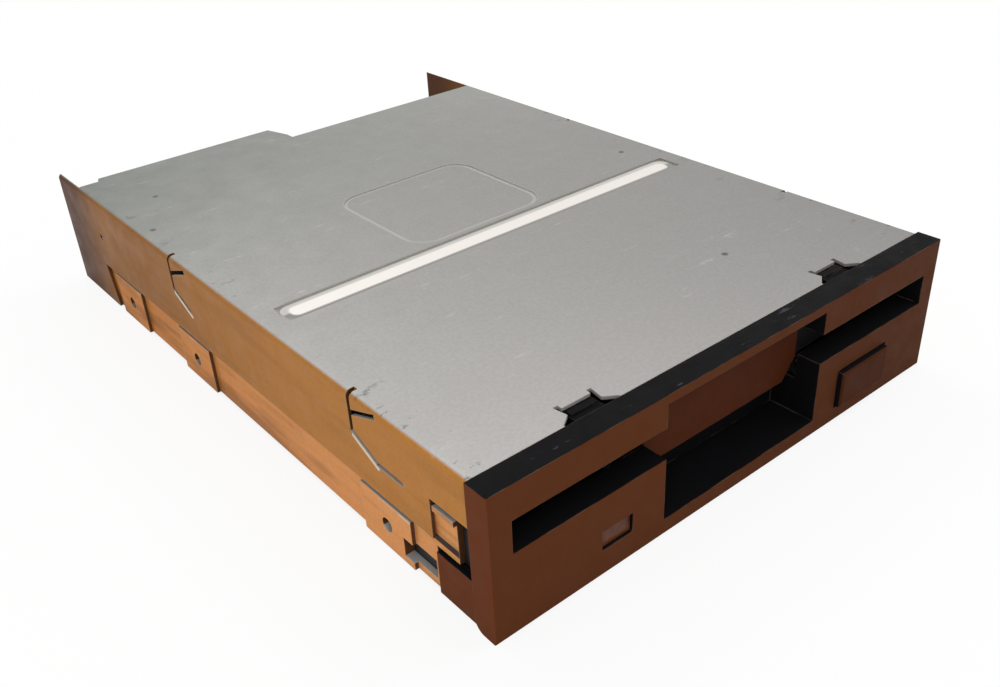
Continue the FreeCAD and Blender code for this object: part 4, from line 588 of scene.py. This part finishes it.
# the lens's brown is a painted reflection of the warm light, as on the bezel's face
def lensFinish(name):
    lens = Finish(name)
    tree = lens.tree
    lens.fixed(Coat_Weight=0.08, Coat_Roughness=0.2, IOR=1.49, Specular_IOR_Level=0.2)
    cloud = noise(tree, lens.spot, 500, 3)
    lens.colour(blendTones(tree, spread(tree, cloud, 0.3, 0.7), tone("47220e"), tone("5c3016")))
    lens.rough(0.3, 0.42, 900)
    lens.relief(noise(tree, lens.spot, 2000), 0.01 * mm, 0.15 * mm)
    return lens.material


finishes = {
    "coverSheet": sheetMetal("coverSheet", True),
    "chassisSheet": sheetMetal("chassisSheet", False),
    "bezelPlastic": bezelPlastic("bezelPlastic", "bezel"),
    "doorPlastic": bezelPlastic("doorPlastic", "door"),
    "buttonPlastic": bezelPlastic("buttonPlastic", "button"),
    "boardResist": boardFinish("boardResist", "green"),
    "motorBoard": boardFinish("motorBoard", "green"),
    "sensorBoard": boardFinish("sensorBoard", "dark"),
    "coilCopper": coilFinish("coilCopper"),
    "rotorSteel": turnedFinish("rotorSteel", spindle, 2, ("cfcfcd", "a9aaa9"), 0.5 * mm),
    "stepperCan": turnedFinish("stepperCan", (-22.5 * mm, 0, 9.6 * mm), 1, ("b4b3ae", "8c8b86"), 0.9 * mm),
    "screwThread": threadFinish("screwThread"),
    "cableFilm": cableFinish("cableFilm"),
    "lightLens": lensFinish("lightLens"),
}
for look in innerLooks:
    finishes[look] = innerFinish(look)

wearing = {
    "coverSheet": ["top_cover"],
    "chassisSheet": ["chassis_frame"],
    "bezelPlastic": ["front_bezel"],
    "buttonPlastic": ["eject_button"],
    "doorPlastic": ["dust_door"],
    "slideSteel": ["eject_slider", "disk_holder", "stepper_bracket"],
    "pinSteel": ["door_hinge_pin", "lift_pins", "lever_post", "spindle_shaft", "drive_pin", "arm_hinge_pin",
                 "guide_rods", "board_posts"],
    "springSteel": ["eject_spring_left", "eject_spring_right", "door_spring", "lever_spring", "arm_spring"],
    "leverAcetal": ["shutter_lever"],
    "motorBoard": ["motor_board"],
    "bearingBronze": ["spindle_bearing"],
    "rotorSteel": ["rotor_cup"],
    "magnetFerrite": ["rotor_magnet", "chuck_magnet"],
    "seatAcetal": ["disk_seat"],
    "coreLacquer": ["stator_core"],
    "coilCopper": ["stator_coils"],
    "chipEpoxy": ["motor_chip", "index_sensor", "controller_chip", "small_parts", "track_sensor", "sensing_switches"],
    "carriagePlastic": ["head_carriage"],
    "headCeramic": ["lower_head", "upper_head"],
    "armSteel": ["upper_head_arm"],
    "supportPlastic": ["rod_supports", "screw_bearing"],
    "screwThread": ["lead_screw"],
    "stepperCan": ["stepper_motor"],
    "boardResist": ["main_board"],
    "sensorBoard": ["switch_boards"],
    "screwZinc": ["board_screws", "frame_screws"],
    "connectorPlastic": ["data_connector"],
    "contactGold": ["data_pins", "power_pins"],
    "headerNylon": ["power_connector", "head_socket"],
    "plungerAcetal": ["write_protect_plunger", "disk_in_plunger", "density_plunger"],
    "lampEpoxy": ["activity_led"],
    "lightLens": ["light_lens"],
    "cableFilm": ["motor_flex", "head_flex"],
}
for finish, wearers in wearing.items():
    for node in wearers:
        nodes[node].data.materials.clear()
        nodes[node].data.materials.append(finishes[finish])
print("finishes on", sum(len(w) for w in wearing.values()), "nodes")


# meshes made here

def newPiece(name, mesh, finish, smooth=True):
    piece = bpy.data.objects.new(name, mesh)
    bpy.context.scene.collection.objects.link(piece)
    mesh.materials.append(finishes[finish])
    for face in mesh.polygons:
        face.use_smooth = smooth
    return piece


def meshData(name, mesh):
    bmesh.ops.recalc_face_normals(mesh, faces=mesh.faces)
    data = bpy.data.meshes.new(name)
    mesh.to_mesh(data)
    mesh.free()
    return data


def sweptWire(name, path, radius, sides=8):
    # a round wire along the points, its section carried on without twisting
    points = [Vector(p) for p in path]
    mesh = bmesh.new()
    rings = []
    across = None
    for i, point in enumerate(points):
        heading = (points[min(i + 1, len(points) - 1)] - points[max(i - 1, 0)]).normalized()
        if across is None:
            across = heading.orthogonal().normalized()
        across = (across - heading * across.dot(heading)).normalized()
        second = heading.cross(across)
        rings.append([
            mesh.verts.new(point + (across * math.cos(a) + second * math.sin(a)) * radius)
            for a in (2 * math.pi * k / sides for k in range(sides))
        ])
    for lower, upper in zip(rings, rings[1:]):
        for k in range(sides):
            n = (k + 1) % sides
            mesh.faces.new((lower[k], lower[n], upper[n], upper[k]))
    mesh.faces.new(reversed(rings[0]))
    mesh.faces.new(rings[-1])
    return meshData(name, mesh)


def coilPath(middle, axis, across, radius, turns, length, steps=24):
    side = axis.cross(across)
    path = []
    for i in range(steps * turns + 1):
        angle = 2 * math.pi * i / steps
        rise = length * (i / (steps * turns) - 0.5)
        path.append(middle + axis * rise + (across * math.cos(angle) + side * math.sin(angle)) * radius)
    return path


def bentLeg(start, corner, end, radius, steps=6):
    # from start to end by a rounded corner
    first = (start - corner).normalized()
    last = (end - corner).normalized()
    a, b = corner + first * radius, corner + last * radius
    path = [start]
    for i in range(steps + 1):
        t = i / steps
        path.append(a.lerp(corner, t).lerp(corner.lerp(b, t), t))
    path.append(end)
    return path


xAxis, yAxis, zAxis = Vector((1, 0, 0)), Vector((0, 1, 0)), Vector((0, 0, 1))


# eject springs: pulled long while the slider is latched, and in the drive they shorten as it comes forward; each is
# wound once here and rides with the base

ejectSpring = {
    "x": 43.6, "z": 9.3, "frontHook": -50.1, "rearHook": -21.7,
    "coilRadius": 1.35, "wireRadius": 0.225, "turns": 16, "legOffset": 0.8, "travel": 5.5,
}


def makeEjectSpring(side):
    s = {key: value * mm if key != "turns" else value for key, value in ejectSpring.items()}
    x = s["x"] * (1 if side == "right" else -1)
    middle = Vector((x, (s["frontHook"] + s["rearHook"]) / 2, s["z"]))
    length = s["rearHook"] - s["frontHook"] - 6.5 * mm
    outer = x + s["coilRadius"]
    legs = []
    for hook, way in ((s["frontHook"], 1), (s["rearHook"], -1)):
        z = s["z"] + way * s["legOffset"]
        tip = Vector((x - 1.1 * mm, hook, z))
        corner = Vector((outer, hook, z))
        inner = Vector((outer, middle.y - way * (length / 2 + 1.1 * mm), z))
        legs.append(bentLeg(tip, corner, inner, 1.0 * mm))
    coil = coilPath(middle, yAxis, xAxis, s["coilRadius"], s["turns"], length)
    path = legs[0] + coil + list(reversed(legs[1]))
    name = "ejectSpring." + side
    spring = newPiece(name, sweptWire(name, path, s["wireRadius"]), "springSteel")
    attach(spring, "base")
    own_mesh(spring)
    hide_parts("eject_spring_" + side)


for side in ("left", "right"):
    makeEjectSpring(side)
print("eject springs wound")


# torsion springs: in the drive one leg stays and the other goes with the moving piece; here each is wound once in its
# rest shape and stands still

torsionWire = 0.175 * mm  # radius


def makeTorsionSpring(name, node, middle, axis, across, radius, turns, length, legs):
    coil = coilPath(middle, axis, across, radius, turns, length)
    side = axis.cross(across)
    lead = bentLeg(coil[0] + legs[0], coil[0] - side * 0.3 * mm, coil[1], 0.1 * mm, 3)[:-1]
    tail = bentLeg(coil[-2], coil[-1] + side * 0.3 * mm, coil[-1] + legs[1], 0.1 * mm, 3)[1:]
    path = lead + coil[1:-1] + tail
    spring = newPiece(name, sweptWire(name, path, torsionWire), "springSteel")
    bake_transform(spring)
    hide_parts(node)


doorMiddle = Vector((35, -68.5, 21.6)) * mm
makeTorsionSpring("doorSpring", "door_spring", doorMiddle, xAxis, yAxis, 1.15 * mm, 5, 4 * mm,
                  (zAxis * -3.2 * mm + yAxis * 0.06 * mm, zAxis * 1.7 * mm))
leverMiddle = Vector((-36, 22.0, 22.4)) * mm
makeTorsionSpring("leverSpring", "lever_spring", leverMiddle, zAxis, -xAxis, 2.25 * mm, 3,
                  2.2 * mm, (yAxis * 5 * mm, yAxis * -4 * mm))
armMiddle = Vector((-8.3, 39.0, 19.0)) * mm
makeTorsionSpring("armSpring", "arm_spring", armMiddle, -xAxis, -zAxis, 1.3 * mm, 3, 2.6 * mm,
                  (yAxis * 3 * mm, yAxis * -2.4 * mm))
print("torsion springs wound")


# flat cable of the heads, which in the drive follows the carriage; here it is laid once in its rest shape and stands
# still

headCable = {"halfWidth": 4.0, "thick": 0.2, "carriageEnd": 41.1, "bendY": 48.1, "top": 12.0, "socketTop": 8.4}


def makeHeadCable():
    c = headCable
    line = bentLeg(Vector((0, c["carriageEnd"], c["top"] + 0.1)), Vector((0, c["bendY"], c["top"] + 0.1)),
                   Vector((0, c["bendY"], c["socketTop"])), 1.6, 12)
    mesh = bmesh.new()
    rows = []
    for i, point in enumerate(line):
        heading = (line[min(i + 1, len(line) - 1)] - line[max(i - 1, 0)]).normalized()
        out = Vector((0, -heading.z, heading.y)) * c["thick"] / 2
        rows.append([
            mesh.verts.new((Vector((x, 0, 0)) + point + out * s) * mm)
            for x, s in ((-c["halfWidth"], -1), (c["halfWidth"], -1), (c["halfWidth"], 1), (-c["halfWidth"], 1))
        ])
    for lower, upper in zip(rows, rows[1:]):
        for k in range(4):
            n = (k + 1) % 4
            mesh.faces.new((lower[k], lower[n], upper[n], upper[k]))
    mesh.faces.new(reversed(rows[0]))
    mesh.faces.new(rows[-1])
    cable = newPiece("headCable", meshData("headCable", mesh), "cableFilm", False)
    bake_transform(cable)
    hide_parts("head_flex")


makeHeadCable()
print("head cable laid")


# dark plate standing in for the shade behind the opening in each side wall, beside the bezel

shade = {
    "outline": [(-70, 0.6), (-70, 14.5), (-64.5, 14.5), (-64.5, 6.2), (-52.6, 6.2), (-52.6, 0.6)],  # y, z
    "outer": 48.74, "thick": 0.2,
}


def sidePlate(name, shape, finish, side):
    points, outer = shape["outline"], shape["outer"]
    mesh = bmesh.new()
    inner, outside = [
        [mesh.verts.new(Vector((side * x, y, z)) * mm) for y, z in points] for x in (outer - shape["thick"], outer)
    ]
    mesh.faces.new(inner)
    mesh.faces.new(reversed(outside))
    for k in range(len(points)):
        n = (k + 1) % len(points)
        mesh.faces.new((inner[k], outside[k], outside[n], inner[n]))
    plate = newPiece(name, meshData(name, mesh), finish, False)
    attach(plate, "base")


for word, side in (("left", -1), ("right", 1)):
    sidePlate("shadePlate." + word, shade, "connectorPlastic", side)
print("shade plates set")


# solder joints under the main board, where the pins come through

solder = {
    "boardUnder": 3.6, "height": 0.55, "radius": 0.75, "sides": 12,
    "fillet": [(1.0, 0.0), (0.72, 0.3), (0.45, 0.7), (0.3, 0.95)],  # shares of radius and height, wide at the pad
    "data": {"middle": -15.5, "pitch": 2.54, "columns": 17, "rows": (51.85, 53.25)},
    "power": {"middle": 28, "pitch": 2.5, "columns": 4, "rows": (51.85,)},
}


def makeSolder():
    s = solder
    spots = [
        (plug["middle"] + (column - (plug["columns"] - 1) / 2) * plug["pitch"], row)
        for plug in (s["data"], s["power"]) for column in range(plug["columns"]) for row in plug["rows"]
    ]
    mesh = bmesh.new()
    for x, y in spots:
        rings = []
        for share, drop in s["fillet"]:
            rings.append([
                mesh.verts.new(Vector((x + math.cos(a) * s["radius"] * share, y + math.sin(a) * s["radius"] * share,
                                       s["boardUnder"] - drop * s["height"])) * mm)
                for a in (2 * math.pi * k / s["sides"] for k in range(s["sides"]))
            ])
        tip = mesh.verts.new(Vector((x, y, s["boardUnder"] - s["height"])) * mm)
        for upper, lower in zip(rings, rings[1:]):
            for k in range(s["sides"]):
                n = (k + 1) % s["sides"]
                mesh.faces.new((upper[k], lower[k], lower[n], upper[n]))
        for k in range(s["sides"]):
            mesh.faces.new((rings[-1][k], tip, rings[-1][(k + 1) % s["sides"]]))
        mesh.faces.new(rings[0])
    joints = newPiece("solderJoints", meshData("solderJoints", mesh), "solderTin")
    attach(joints, "base")


makeSolder()
print("solder joints made")


# floor and light

studio = {
    "floorSize": 3.0,
    "floor": (0.93, 0.93, 0.93, 1),
    "shaded": (50.8 * mm, 75.5 * mm),  # half sizes of the drive's own patch of floor, which stays dark
    "glow": 0.85,  # share of plain white in the floor as the camera sees it
    "world": 0.6,
    "lamps": [
        # name, place, size, watts
        ("key", (-0.55, -0.75, 0.95), 0.9, 6.5),
        ("fill", (0.85, -0.25, 0.8), 0.9, 3.2),
        ("back", (0.1, 0.95, 0.9), 0.9, 3.6),
    ],
}

floorMesh = bpy.data.meshes.new("floor")
half = studio["floorSize"] / 2
floorMesh.from_pydata([(-half, -half, 0), (half, -half, 0), (half, half, 0), (-half, half, 0)], [], [(0, 1, 2, 3)])
floor = bpy.data.objects.new("floor", floorMesh)
bpy.context.scene.collection.objects.link(floor)
paper = Finish("floorPaper")
mottle = noise(paper.tree, paper.spot, 3, 1)
paper.colour(blendTones(paper.tree, mottle, studio["floor"], scaled(studio["floor"], 0.99)))
paper.fixed(Roughness=0.9, Specular_IOR_Level=0.1)
lit = paper.tree.nodes.new("ShaderNodeEmission")
lit.inputs["Color"].default_value = (1, 1, 1, 1)
lit.inputs["Strength"].default_value = 1.0
mixer = paper.tree.nodes.new("ShaderNodeMixShader")
path = paper.tree.nodes.new("ShaderNodeLightPath")
beside = roundedBox(paper.tree, paper.x, paper.y, studio["shaded"], 3 * mm)
beside = spread(paper.tree, beside, -6 * mm, 0.0, 0.0, studio["glow"])
wire(paper.tree, calc(paper.tree, "MULTIPLY", path.outputs["Is Camera Ray"], beside), mixer.inputs[0])
wire(paper.tree, paper.shader.outputs[0], mixer.inputs[1])
wire(paper.tree, lit.outputs[0], mixer.inputs[2])
wire(paper.tree, mixer.outputs[0], paper.tree.nodes["Material Output"].inputs["Surface"])
floorMesh.materials.append(paper.material)

world = bpy.data.worlds.new("studio")
bpy.context.scene.world = world
world.use_nodes = True
sky = world.node_tree
background = sky.nodes["Background"]
background.inputs["Color"].default_value = (1, 1, 1, 1)
ray = sky.nodes.new("ShaderNodeLightPath")
mirrored = calc(sky, "MAXIMUM", ray.outputs["Is Glossy Ray"], ray.outputs["Is Transmission Ray"])
seen = calc(sky, "MAXIMUM", ray.outputs["Is Camera Ray"], mirrored)
wire(sky, spread(sky, seen, 0.0, 1.0, studio["world"], 1.0, False), background.inputs["Strength"])

for name, place, size, watts in studio["lamps"]:
    lamp = bpy.data.lights.new(name, "AREA")
    lamp.shape = "SQUARE"
    lamp.size = size
    lamp.energy = watts
    holder = bpy.data.objects.new(name, lamp)
    holder.location = place
    holder.rotation_euler = (Vector((0, 0, 0)) - Vector(place)).to_track_quat("-Z", "Y").to_euler()
    bpy.context.scene.collection.objects.link(holder)
print("floor and light set")
